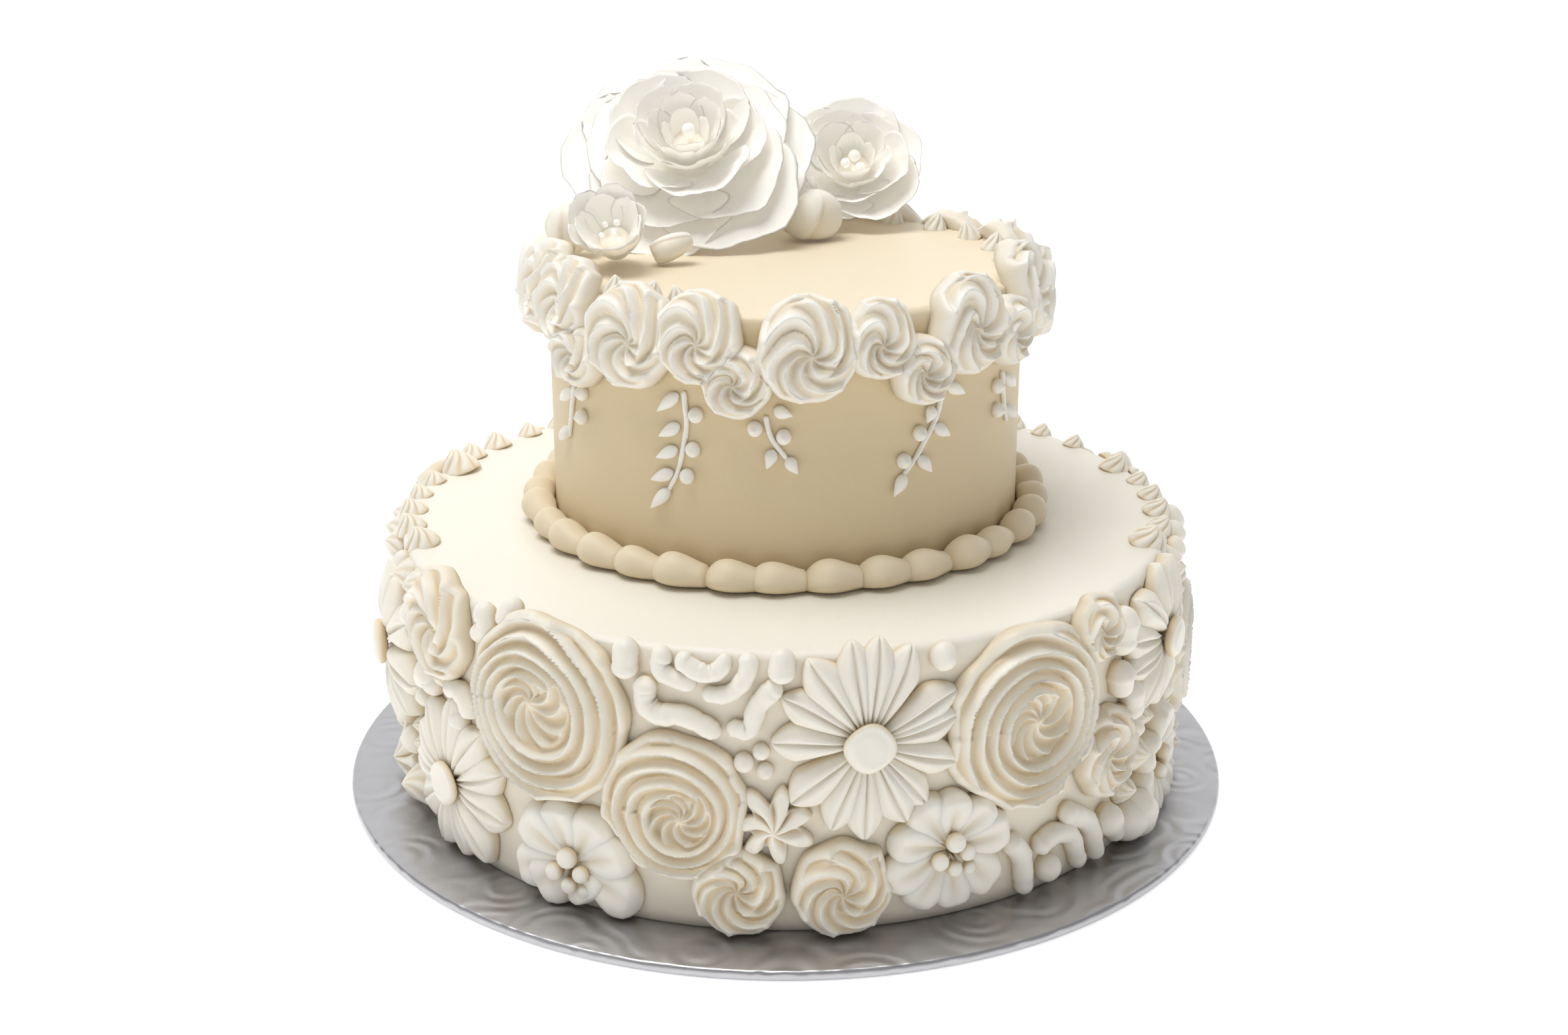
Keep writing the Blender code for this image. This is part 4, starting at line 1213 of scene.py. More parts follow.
# Strands that the front shows: azimuth and height of each bend, and half width
STRANDS = [
    Strand(((-20.5, 92.0), (-20.6, 86.5)), 2.7, 1.0),
    Strand(((-15.6, 91.8), (-16.4, 88.0), (-14.8, 85.4), (-12.2, 84.0)), 2.1),
    Strand(((-13.0, 90.8), (-11.6, 88.0), (-9.6, 86.9), (-8.2, 88.2), (-7.6, 91.2)), 2.0),
    Strand(((-4.6, 91.8), (-4.6, 88.0), (-5.8, 84.0), (-7.2, 80.8), (-9.6, 81.0)), 2.0),
    Strand(((-18.0, 82.0), (-18.1, 75.6), (-16.0, 72.6), (-13.8, 74.4), (-12.0, 73.2), (-9.2, 69.8)), 2.4),
    Strand(((-1.4, 83.6), (-3.4, 79.2), (-4.1, 74.2), (-4.3, 69.6), (-6.4, 70.8)), 2.2),
    Strand(((-0.4, 92.0), (-0.5, 88.6)), 2.7, 1.0),
    Strand(((31.4, 23.8), (33.2, 19.0), (33.8, 7.5)), 2.5),
    Strand(((36.4, 19.6), (38.6, 22.2), (42.4, 19.4), (44.2, 8.0)), 2.4),
    Strand(((41.4, 27.0), (46.0, 20.6), (47.4, 14.0), (48.2, 7.5)), 2.5),
    Strand(((50.4, 17.6), (52.8, 10.4)), 3.6, 0.6),
    Strand(((57.8, 13.6), (58.6, 10.4)), 5.2, 0.9),
    Strand(((-43.8, 92.0), (-42.6, 88.4), (-44.8, 85.0)), 2.4),
    Strand(((-58.5, 61.5), (-61.0, 57.0)), 3.4, 0.7),
    Strand(((-47.6, 57.0), (-49.6, 62.5), (-52.6, 60.6)), 2.4),
    Strand(((51.9, 84.5), (51.8, 77.0)), 3.4, 0.9),
    Strand(((52.0, 66.5), (52.2, 62.0)), 3.2, 0.9),
    Strand(((55.6, 57.5), (56.2, 50.5)), 3.0, 0.9),
    Strand(((-50.4, 52.0), (-51.0, 48.8)), 2.6, 0.6),
    Strand(((-38.5, 96.0), (-40.0, 92.6)), 2.4, 0.8),
]

# Pearls on the lower tier: azimuth, height, radius, peak
PEARLS = [
    (-5.3, 59.8, 3.2, 0.4),
    (-3.1, 63.4, 2.7, 0.3),
    (-2.6, 57.2, 2.7, 0.9),
    (20.3, 90.0, 4.3, 0.4),
    (15.4, 41.5, 2.4, 0.5),
    (38.0, 10.6, 4.8, 0.3),
]


@dataclass(frozen=True)
class Vine:
    """One trailing vine: stem bends, berries, and leaves from base to tip."""

    stem: tuple[tuple[float, float], ...]
    berries: tuple[tuple[float, float], ...]
    leaves: tuple[tuple[tuple[float, float], tuple[float, float]], ...]


VINES = [
    Vine(
        ((-22.9, 155.0), (-22.2, 144.0), (-24.4, 129.5), (-27.0, 123.0)),
        ((-20.0, 148.0), (-20.8, 137.0), (-22.3, 128.2)),
        (
            ((-24.2, 154.0), (-29.3, 147.8)),
            ((-24.0, 144.2), (-29.0, 140.0)),
            ((-24.6, 136.6), (-29.8, 133.0)),
            ((-25.8, 129.0), (-31.3, 125.5)),
            ((-26.8, 123.4), (-31.5, 116.0)),
        ),
    ),
    Vine(
        ((-4.4, 149.0), (-3.3, 142.0), (0.4, 135.4)),
        ((-6.7, 145.0), (-0.4, 142.6)),
        (
            ((-2.6, 151.0), (1.6, 149.4)),
            ((-2.6, 138.6), (-4.1, 132.6)),
            ((0.3, 136.0), (2.7, 131.0)),
        ),
    ),
    Vine(
        ((37.6, 153.0), (36.2, 144.5), (30.2, 132.0), (27.2, 127.4)),
        ((31.2, 140.2), (27.2, 132.2)),
        (
            ((38.6, 154.0), (43.9, 150.0)),
            ((35.0, 148.0), (32.6, 143.4)),
            ((35.4, 141.6), (39.5, 137.6)),
            ((31.2, 132.8), (34.4, 127.2)),
            ((27.8, 127.8), (24.4, 121.4)),
        ),
    ),
    Vine(
        ((-58.0, 148.0), (-59.5, 140.0), (-61.5, 130.0)),
        ((-53.6, 147.0), (-54.2, 139.0)),
        (((-59.2, 146.0), (-64.5, 141.0)), ((-61.0, 133.0), (-66.0, 127.0))),
    ),
    Vine(
        ((60.5, 152.0), (61.5, 143.0), (64.5, 134.0)),
        ((57.6, 148.0), (58.0, 140.0)),
        (((62.0, 150.0), (67.5, 144.5)), ((63.6, 139.0), (69.0, 133.5))),
    ),
    Vine(
        ((121.0, 154.0), (119.6, 143.0), (117.0, 133.0)),
        ((117.4, 148.0),),
        (((121.5, 148.0), (126.5, 143.0)), ((117.5, 134.0), (114.5, 127.0))),
    ),
    Vine(
        ((-131.0, 154.0), (-130.0, 143.0), (-127.0, 133.0)),
        ((-127.4, 148.0),),
        (((-131.5, 148.0), (-136.5, 143.0)), ((-127.5, 134.0), (-124.5, 127.0))),
    ),
]


@dataclass(frozen=True)
class LowerTier(IcedTier):
    """The lower round with its strands, pearls and the drops that fill the gaps.

    The drops begin at an azimuth on the right and go round the back to the left. On the
    rim, small drops lie between the large ones.
    """

    node: str = "lower_tier"
    fill_start: float = 56.0
    rim_start: float = 72.0
    rim_large: int = 7
    rim_between: int = 5

    def dress(self, flowers: list[Flower]) -> None:
        """Ices the round and pipes its small toppings.

        Args:
            flowers: The piped flowers on its side, which the toppings keep clear of.
        """
        # The lower side gets a light painted shade
        self.icing("iced_lower_round", self.node, 0.28, 0.2)
        strands = Piece("piped_strands")
        for strand in STRANDS:
            self.strand(strands, strand)
        for azimuth, z, radius, peak in PEARLS:
            self.pearl(strands, azimuth, z, radius, peak)
        strands.finish(self.finish, self.slot, [self.node])
        self.fillers(flowers)
        self.rim_drops(flowers)

    def room(self, azimuth: float, z: float, flowers: list[Flower]) -> float:
        """Measures the free room round a place on the tier's side.

        Args:
            azimuth: The place's azimuth.
            z: Its height.
            flowers: The flowers on the side.

        Returns:
            The distance to the nearest flower's outline.
        """
        best = 1000.0
        for flower in flowers:
            across = math.radians(wrapped(azimuth - flower.azimuth)) * self.tier.map_radius
            best = min(best, math.hypot(across, z - flower.z) - flower.radius)
        return best

    def fillers(self, flowers: list[Flower]) -> None:
        """Pipes small drops wherever the sides and back would show bare icing."""
        piece = Piece("piped_fillers")
        chance = random.Random(7)
        placed_drops: list[tuple[float, float, float]] = []
        for least, most, step_az, step_z in ((4.2, 7.6, 2.4, 5.0), (3.0, 4.4, 1.6, 3.4)):
            azimuth = self.fill_start
            while azimuth < 360.0 - self.fill_start + 6.0:
                z = 8.0
                while z < self.tier.top - 3.0:
                    at = azimuth + chance.uniform(-0.7, 0.7)
                    height = z + chance.uniform(-1.5, 1.5)
                    room = self.room(at, height, flowers) + 1.5
                    headroom = min(height - self.tier.foot - 0.4, self.tier.top - 1.0 - height)
                    radius = min(most, room, headroom)
                    for other_at, other_z, other_radius in placed_drops:
                        across = math.radians(wrapped(at - other_at)) * self.tier.map_radius
                        apart = math.hypot(across, height - other_z)
                        radius = min(radius, apart - 0.85 * other_radius)
                    if radius >= least:
                        placed_drops.append((at, height, radius))
                    z += step_z
                azimuth += step_az
        for number, (azimuth, z, radius) in enumerate(placed_drops):
            turn = math.radians(azimuth)
            outward = (math.sin(turn), -math.cos(turn), 0.12)
            if number % 3 == 0:
                self.pearl(piece, azimuth, z, radius, 0.5)
                continue
            reach = self.tier.radius - 0.2
            foot = (reach * outward[0], reach * outward[1], z)
            points = 5 + number % 3
            drop = Kiss(radius * 1.12, 1.25 * radius + 0.6, points, 0.9, 0.3, 5)
            drop.add(piece, foot, outward)
        piece.finish(self.finish, self.slot, [self.node])

    def rim_drops(self, flowers: list[Flower]) -> None:
        """Pipes the soft drops that lie over the rim at the back.

        Args:
            flowers: The piped flowers on the side, which the small drops keep clear of.
        """
        piece = Piece("piped_rim_drops")
        chance = random.Random(11)
        gaps = (self.rim_large - 1) * self.rim_between
        for number in range(gaps + 1):
            azimuth = self.rim_start + (360.0 - 2.0 * self.rim_start) * number / gaps
            large = number % self.rim_between == 0
            radius = 6.4 * (1.0 + 0.14 * math.sin(4.1 * number / self.rim_between))
            if not large:
                radius = chance.uniform(4.0, 5.4)
                azimuth += chance.uniform(-0.7, 0.7)
                if self.room(azimuth, self.tier.top - 1.0, flowers) < 0.5 * radius:
                    continue
            turn = math.radians(azimuth)
            reach = self.tier.radius - (0.9 if large else 0.62) * radius
            foot = (reach * math.sin(turn), -reach * math.cos(turn), self.tier.top - 1.2)
            aim = (0.35 * math.sin(turn), -0.35 * math.cos(turn), 0.94)
            Kiss(radius * 1.05, radius * 1.25, 7, 1.3, 0.24).add(piece, foot, aim)
        piece.finish(self.finish, self.slot, [self.node])


@dataclass(frozen=True)
class UpperTier(IcedTier):
    """The upper round with its trailing vines and the shells on its edge.

    A shell is its azimuth and its distance from the cake's axis.
    """

    node: str = "upper_tier"
    stem: float = 0.85
    berry: float = 2.5
    leaf_width: float = 2.3
    left_shells: tuple[tuple[float, float], ...] = ((-47.0, 71.5), (-36.5, 69.5), (-27.0, 70.0))

    def dress(self, white: bpy.types.Material) -> None:
        """Ices the round and pipes its vines and shells.

        Args:
            white: The finish of the vines and shells.
        """
        # The upper side is painted fully with shade, darker than its lit top
        self.icing("iced_upper_round", self.node, 1.0, 0.12)
        vines = Piece("piped_vines")
        for vine in VINES:
            self.strand(vines, Strand(vine.stem, self.stem, 0.8))
            for azimuth, z in vine.berries:
                self.pearl(vines, azimuth, z, self.berry, 0.8)
            for base, tip in vine.leaves:
                self.leaf(vines, base, tip, self.leaf_width)
        vines.finish(white, Slot.WHITE, [self.node])
        shells = Piece("piped_edge_shells")
        places = list(self.left_shells) + [(88.0 + 15.0 * index, 72.0) for index in range(6)]
        for number, (azimuth, distance) in enumerate(places):
            turn = math.radians(azimuth)
            foot = (distance * math.sin(turn), -distance * math.cos(turn), self.tier.top - 0.6)
            lean = 0.3 * math.sin(2.2 * number)
            Kiss(4.3, 6.8, 6, 0.8, 0.34).add(shells, foot, (lean, -0.1, 0.95))
        shells.finish(white, Slot.WHITE, [self.node])


@dataclass(frozen=True)
class BeadBorder:
    """The run of teardrop beads round the upper tier's foot."""

    finish: bpy.types.Material
    count: int = 33
    first: float = 4.2
    half_height: float = 5.1
    half_depth: float = 5.6

    def build(self) -> None:
        """Pipes the beads, each over the tail of the one before."""
        piece = Piece("piped_bead_border")
        for number in range(self.count):
            self.bead(piece, number)
        piece.finish(self.finish, Slot.BEIGE, ["bead_border"])

    def bead(self, piece: Piece, number: int) -> None:
        """Adds one bead with a round head and a drawn-out tail.

        Args:
            piece: The piece that takes it.
            number: Its place in the run.
        """
        pitch = 360.0 / self.count
        start = self.first + pitch * number + 0.8 * math.sin(2.7 * number)
        size = 1.0 + 0.045 * math.sin(2.3 * number + 1.0)

        def shape(share: Array, around: Array) -> tuple[Array, Array]:
            """Gives the bead's places and painted shade."""
            along = eased(share)
            head = rounded(along / 0.42)
            tail = 1.0 - 0.36 * smooth(0.4, 1.0, along)
            close = np.sqrt(unit((1.0 - along) / 0.12))
            full = size * head * tail * np.minimum(1.0, close)
            azimuth = start - 0.8 + (pitch + 3.2) * along
            fold = 1.0 + 0.03 * np.cos(3.0 * around + 6.0 * along) * head
            reach = UPPER.radius + 0.4 + self.half_depth * (0.25 + 0.75 * full)
            reach = reach + self.half_depth * full * fold * np.cos(around)
            z = LOWER.top + 0.35 + self.half_height * full * (1.0 + fold * np.sin(around))
            reach = np.maximum(reach, UPPER.radius - 1.0)
            turn = np.radians(azimuth)
            places = np.stack([reach * np.sin(turn), -reach * np.cos(turn), z], axis=1) * MM
            # Painted shade underneath and at its start, where the tail before lies over it
            painted_shade = 0.7 * smooth(0.1, -0.9, np.sin(around)) + 0.5 * smooth(0.25, 0.0, along)
            return places, unit(painted_shade)

        piece.body(32, 30, shape)


@dataclass(frozen=True)
class Ring:
    """One ring of sugar petals: their number, size, cup and turn."""

    petals: int
    radius: float
    lift: float
    base: float
    rise: float
    spread: float
    turn: float
    step: float = 0.6
    climb: float = 1.7
    curl: float = 2.5
    ruffle: float = 1.3


@dataclass(frozen=True)
class SugarFlower:
    """A sugar flower: thin cupped petals round a core, with pearls inside.

    The core is a radius, a height and a level. A pearl is a place to the right, up and
    out of the flower, and a radius.
    """

    node: str
    centre: tuple[float, float, float]
    aim: tuple[float, float, float]
    core: tuple[float, float, float]
    rings: tuple[Ring, ...]
    pearls: tuple[tuple[float, float, float, float], ...]
    thickness: float = 0.55

    def build(self, finish: bpy.types.Material) -> None:
        """Wires the petals together as one piece.

        Args:
            finish: The sugar petals' finish.
        """
        piece = Piece("sugar_" + self.node)
        core_radius, core_height, core_level = self.core
        # The core is painted evenly with shade, deep in the flower's middle; the pearls get painted shade
        # at their foot
        self.ball(piece, (0.0, 0.0, core_level), (core_radius, core_height), (32, 16), (0.8, 0.8))
        for level, ring in enumerate(self.rings):
            for index in range(ring.petals):
                self.petal(piece, ring, index, 10.0 * level + index)
        for right, up, level, radius in self.pearls:
            self.ball(piece, (right, up, level), (radius, radius), (24, 14), (0.0, 1.0))
        piece.finish(finish, Slot.PETAL, [self.node])

    def ball(
        self,
        piece: Piece,
        spot: tuple[float, float, float],
        size: tuple[float, float],
        fineness: tuple[int, int],
        shade_ends: tuple[float, float],
    ) -> None:
        """Adds a round body in the flower's own frame.

        Args:
            piece: The piece that takes it.
            spot: Its place to the right, up and out of the flower.
            size: Its radius and half its height.
            fineness: Its faces round and from pole to pole.
            shade_ends: How much painted shade it has at the tip and at the foot.
        """
        columns, rows = fineness
        radius, height = size

        def shape(share: Array, around: Array) -> tuple[Array, Array]:
            """Gives the ball's places and painted shade."""
            polar = share * math.pi
            out = radius * np.sin(polar)
            flat = np.stack([
                spot[0] + out * np.cos(around),
                spot[1] + out * np.sin(around),
                spot[2] + height * np.cos(polar),
            ], axis=1)
            painted_shade = shade_ends[0] + (shade_ends[1] - shade_ends[0]) * smooth(1.2, 2.4, polar)
            return placed(flat, self.centre, self.aim), painted_shade

        piece.body(columns, rows, shape)

    def petal(self, piece: Piece, ring: Ring, index: int, seed: float) -> None:
        """Adds one petal: a thin closed sheet with a soft ruffled lip.

        Args:
            piece: The piece that takes it.
            ring: The petal's ring.
            index: Its place in the ring.
            seed: Which ruffle it has.
        """
        direction = math.radians(ring.turn + 360.0 * index / ring.petals)

        def sheet(across: Array, along: Array) -> Array:
            """Gives the middle of the sheet, from side to side and from foot to lip."""
            along = np.maximum(along, 0.0)
            lip = smooth(0.72, 1.0, along)
            scallop = 1.0 + 0.04 * ripple(2.4 * across, seed) + 0.014 * np.sin(9.0 * across + seed)
            scallop = scallop + 0.009 * np.sin(21.0 * across + 2.0 * seed)
            reach_most = (ring.radius + ring.step * index - ring.base) * scallop
            reach = ring.base + reach_most * along * (1.0 - 0.05 * across**2 * along)
            rise = ring.lift + ring.rise * along**1.7 + 0.16 * ring.radius * along * across**2
            rise = rise + ring.climb * index - ring.curl * lip**1.5
            reach = reach + 0.4 * ring.curl * lip**2
            wave = ring.ruffle * along**3 * ripple(2.7 * across, seed + 1.7)
            wave = wave + 0.3 * ring.ruffle * along**4 * np.sin(11.0 * across + 3.0 * seed)
            vein = 0.1 * along * np.sin(26.0 * across + 1.5 * ripple(3.0 * along, seed))
            rise = rise + wave + vein
            half = math.radians(ring.spread) * (0.62 + 1.3 * along - 1.15 * along**2)
            turn = direction + half * across
            return np.stack([reach * np.cos(turn), reach * np.sin(turn), rise], axis=1)

        def shape(share: Array, around: Array) -> tuple[Array, Array]:
            """Gives the places and painted shade of both faces of the sheet."""
            front = share <= 0.5
            out = 2.0 * np.minimum(share, 1.0 - share)
            power = 2.7
            bulge = (np.abs(np.cos(around)) ** power + np.abs(np.sin(around)) ** power) ** (-1.0 / power)
            across = out * bulge * np.cos(around)
            along = 0.5 + 0.5 * out * bulge * np.sin(around)
            middle = sheet(across, along)
            step = 0.004
            sideways = sheet(across + step, along) - sheet(across - step, along)
            onwards = sheet(across, along + step) - sheet(across, along - step)
            facing = np.cross(sideways, onwards)
            facing /= np.maximum(np.linalg.norm(facing, axis=1, keepdims=True), 1e-9)
            thick = 0.5 * self.thickness * np.sqrt(unit(1.0 - out**4))
            thick = thick * (1.3 - 0.6 * along)
            points = middle + facing * np.where(front, thick, -thick)[:, None]
            # Painted shade deep in the flower, towards each petal's foot, less on the back face
            painted_shade = unit(0.75 * (1.0 - smooth(0.05, 0.5, along)) + 0.15)
            return placed(points, self.centre, self.aim), np.where(front, painted_shade, 0.6 * painted_shade)

        piece.body(56, 36, shape)


@dataclass(frozen=True)
class PipedBud:
    """A plump bud of icing whose folds wind up and close at its tip."""

    node: str
    centre: tuple[float, float, float]
    aim: tuple[float, float, float]
    size: tuple[float, float, float]
    folds: int

    def build(self, finish: bpy.types.Material) -> None:
        """Pipes the bud as one closed body.

        Args:
            finish: The icing's finish.
        """
        piece = Piece("piped_" + self.node)
        width, depth, height = self.size

        def shape(share: Array, angle: Array) -> tuple[Array, Array]:
            """Gives the bud's places and painted shade."""
            polar = share * math.pi
            phase = self.folds * angle / TURN
            saw = phase - np.floor(phase)
            lap = np.where(saw < 0.86, saw / 0.86, (1.0 - saw) / 0.14)
            fade = np.sqrt(np.sin(math.pi * share))
            fold = 1.0 + (0.13 * lap**0.8 - 0.07) * fade
            out = np.sin(polar) * fold
            turn = angle + 1.3 * (1.0 - share)
            rise = np.maximum(np.cos(polar), -0.62) * height
            rise = rise - 0.10 * height * np.exp(-((polar / 0.34) ** 2))
            flat = np.stack([
                out * np.cos(turn) * width, out * np.sin(turn) * depth, rise
            ], axis=1)
            # Painted shade in the folds and on the underside
            painted_shade = unit(0.4 * (1.0 - lap) ** 3 * fade + smooth(0.6, 0.8, share) * 0.4)
            return placed(flat, self.centre, self.aim), painted_shade

        piece.body(self.folds * 22, 52, shape)
        piece.finish(finish, Slot.IVORY, [self.node])


SUGAR_FLOWERS = [
    SugarFlower(
        node="peony_large",
        centre=(-32.5, 42.0, 203.0),
        aim=(-0.04, -0.70, 0.71),
        core=(12.0, 17.0, -2.0),
        rings=(
            Ring(6, 41.5, -6.0, 6.0, 12.0, 60.0, 8.0, 0.4, 1.3, 3.0, 1.6),
            Ring(5, 33.5, -3.0, 5.5, 15.0, 64.0, 30.0, 0.4, 1.2),
            Ring(5, 26.0, 0.5, 5.0, 19.0, 64.0, 0.0, 0.5, 1.3, 1.2),
            Ring(5, 17.0, 4.0, 4.5, 19.0, 56.0, 0.0, 0.5, 1.2, 0.2, 0.9),
            Ring(5, 12.5, 6.0, 3.5, 18.0, 58.0, 40.0, 0.3, 0.7, -0.6, 0.8),
            Ring(4, 8.0, 6.5, 2.0, 15.0, 58.0, 15.0, 0.3, 0.6, -0.8, 0.6),
        ),
        pearls=((0.5, 0.8, 19.5, 2.3),),
    ),
    SugarFlower(
        node="peony_small",
        centre=(24.5, 70.0, 193.0),
        aim=(-0.05, -0.78, 0.63),
        core=(8.0, 11.0, 2.0),
        rings=(
            Ring(5, 24.5, -2.0, 5.0, 16.0, 64.0, 18.0, 0.5, 1.5, 1.6),
            Ring(5, 18.5, 0.5, 4.5, 17.5, 64.0, 52.0, 0.4, 1.2, 0.8, 1.0),
            Ring(4, 13.0, 3.0, 4.0, 18.0, 60.0, 54.0, 0.5, 1.2, 0.2, 0.9),
            Ring(4, 8.0, 4.0, 2.5, 15.0, 60.0, 10.0, 0.3, 0.8, -0.6, 0.6),
        ),
        pearls=((0.5, 2.0, 14.0, 2.2), (-2.6, -0.6, 13.4, 1.8), (2.6, -1.8, 13.2, 1.6)),
    ),
    SugarFlower(
        node="open_bud",
        centre=(-55.5, -6.0, 186.0),
        aim=(-0.08, -0.74, 0.66),
        core=(5.5, 5.5, 0.0),
        rings=(
            Ring(5, 12.5, -2.0, 3.5, 16.5, 52.0, 12.0, 0.5, 1.2, -0.6, 1.1),
            Ring(5, 10.5, -1.0, 3.0, 15.0, 52.0, 48.0, 0.3, 0.6, -0.4, 0.9),
        ),
        pearls=(
            (-2.4, 2.2, 8.2, 1.0),
            (1.4, 2.8, 8.6, 1.1),
            (-3.2, -1.4, 7.8, 0.9),
            (0.9, -0.6, 8.8, 1.0),
            (2.8, -2.9, 7.6, 0.9),
        ),
    ),
]

BUDS = [
    PipedBud("top_bud_left", (-70.5, 3.0, 188.5), (-0.35, -0.1, 0.9), (7.5, 8.5, 10.0), 5),
    PipedBud("top_bud_leaf", (-38.0, -8.5, 185.0), (0.8, 0.2, 0.32), (4.2, 4.2, 9.0), 4),
    PipedBud("top_bud_right", (9.0, 32.0, 187.4), (0.1, -0.15, 0.95), (11.0, 9.0, 9.5), 5),
    PipedBud("top_bud_back", (-4.0, 75.0, 194.0), (0.0, -0.2, 0.95), (10.0, 9.0, 18.0), 5),
]


@dataclass(frozen=True)
class FoilBoard:
    """The round board with foil folded over its edge."""

    finish: bpy.types.Material
    radius: float = 152.7
    thickness: float = 3.4
    steps: int = 256

    def build(self) -> None:
        """Turns the board with a rounded edge."""
        piece = Piece("foil_board")
        soft = 1.1
        points = [(out, self.thickness) for out in np.linspace(0.0, self.radius - soft, 24)]
        for angle in np.linspace(0.0, math.pi, 11)[1:-1]:
            points.append((
                self.radius - soft + soft * math.sin(angle),
                0.5 * self.thickness + 0.5 * self.thickness * math.cos(angle),
            ))
        points += [(out, 0.0) for out in np.linspace(self.radius - soft, 0.0, 12)]
        piece.turned(points, self.steps)
        piece.finish(self.finish, Slot.FOIL, ["cake_board"])


class Tree:
    """A node tree with short ways to add and join nodes."""

    def __init__(self, tree: bpy.types.NodeTree) -> None:
        """Wraps a tree."""
        self.tree = tree

    def add(self, kind: str, **settings: object) -> bpy.types.Node:
        """Adds a node.

        Args:
            kind: The node's type name.
            **settings: Properties of the node.

        Returns:
            The node.
        """
        node = self.tree.nodes.new(kind)
        for name, value in settings.items():
            setattr(node, name, value)
        return node

    def join(self, start: bpy.types.NodeSocket, end: bpy.types.NodeSocket) -> None:
        """Links two sockets."""
        self.tree.links.new(start, end)

    def math(self, operation: str, first: object, second: object) -> bpy.types.NodeSocket:
        """Adds a maths node.

        Args:
            operation: What it does.
            first: A socket or a number.
            second: A socket or a number.

        Returns:
            The socket of its result.
        """
        node = self.add("ShaderNodeMath", operation=operation)
        for socket, value in zip(node.inputs, (first, second)):
            if isinstance(value, bpy.types.NodeSocket):
                self.join(value, socket)
            else:
                socket.default_value = value
        return node.outputs["Value"]

    def noise(self, scale: float, detail: float, roughness: float = 0.5) -> bpy.types.NodeSocket:
        """Adds a noise in object coordinates.

        Args:
            scale: Its fineness.
            detail: Its levels of detail.
            roughness: How strong the fine levels are.

        Returns:
            The socket of its value.
        """
        place = self.add("ShaderNodeTexCoord")
        noise = self.add("ShaderNodeTexNoise")
        noise.inputs["Scale"].default_value = scale
        noise.inputs["Detail"].default_value = detail
        noise.inputs["Roughness"].default_value = roughness
        self.join(place.outputs["Object"], noise.inputs["Vector"])
        return noise.outputs["Fac"]


def new_group(name: str, inputs: dict[str, tuple[str, object]], output: tuple[str, str]) -> Tree:
    """Starts a node group with named inputs and one output.

    Args:
        name: The group's name.
        inputs: Each input's socket type and default, by name.
        output: The output's name and socket type.

    Returns:
        The group's tree.
    """
    tree = bpy.data.node_groups.new(name, "ShaderNodeTree")
    for label, (kind, value) in inputs.items():
        socket = tree.interface.new_socket(name=label, in_out="INPUT", socket_type=kind)
        socket.default_value = value
    tree.interface.new_socket(name=output[0], in_out="OUTPUT", socket_type=output[1])
    return Tree(tree)


def mottle_and_painted_shade() -> bpy.types.NodeTree:
    """Makes the group that paints shade into icing where its shade layer is high, in creases, undersides
    and gaps, and mottles its own tone softly.

    Returns:
        The group.
    """
    group = new_group(
        "mottle_and_painted_shade",
        {
            "Light": ("NodeSocketColor", (0.9, 0.87, 0.8, 1.0)),
            "Painted Shade": ("NodeSocketColor", (0.7, 0.55, 0.35, 1.0)),
            "Mottle": ("NodeSocketFloat", 0.1),
        },
        ("Color", "NodeSocketColor"),
    )
    start = group.add("NodeGroupInput")
    end = group.add("NodeGroupOutput")
    # The layer's value mixes in the painted shade colour; the noise below is a random mottle of the
    # icing's own tone
    crease_shade = group.add("ShaderNodeAttribute", attribute_name=SHADE_LAYER)
    cloud = group.math("SUBTRACT", group.noise(38.0, 3.0), 0.5)
    shade = group.math("MULTIPLY", cloud, start.outputs["Mottle"])
    amount = group.math("ADD", crease_shade.outputs["Fac"], shade)
    mix = group.add("ShaderNodeMix", data_type="RGBA")
    group.join(amount, mix.inputs["Factor"])
    group.join(start.outputs["Light"], mix.inputs["A"])
    group.join(start.outputs["Painted Shade"], mix.inputs["B"])
    group.join(mix.outputs["Result"], end.inputs["Color"])
    return group.tree


def creamy_grain() -> bpy.types.NodeTree:
    """Makes the group for the fine drag marks and pores in whipped icing.

    Returns:
        The group.
    """
    group = new_group(
        "creamy_grain",
        {"Pores": ("NodeSocketFloat", 0.5), "Drag": ("NodeSocketFloat", 0.5)},
        ("Height", "NodeSocketFloat"),
    )
    start = group.add("NodeGroupInput")
    end = group.add("NodeGroupOutput")
    pores = group.math("MULTIPLY", group.noise(1400.0, 3.0, 0.65), start.outputs["Pores"])
    drag = group.math("MULTIPLY", group.noise(260.0, 2.0), start.outputs["Drag"])
    group.join(group.math("ADD", pores, drag), end.inputs["Height"])
    return group.tree


def new_material(name: str) -> tuple[bpy.types.Material, Tree, bpy.types.Node]:
    """Starts a material.

    Args:
        name: The material's name.

    Returns:
        The material, its tree and its shader.
    """
    material = bpy.data.materials.new(name)
    material.use_nodes = True
    return material, Tree(material.node_tree), material.node_tree.nodes["Principled BSDF"]


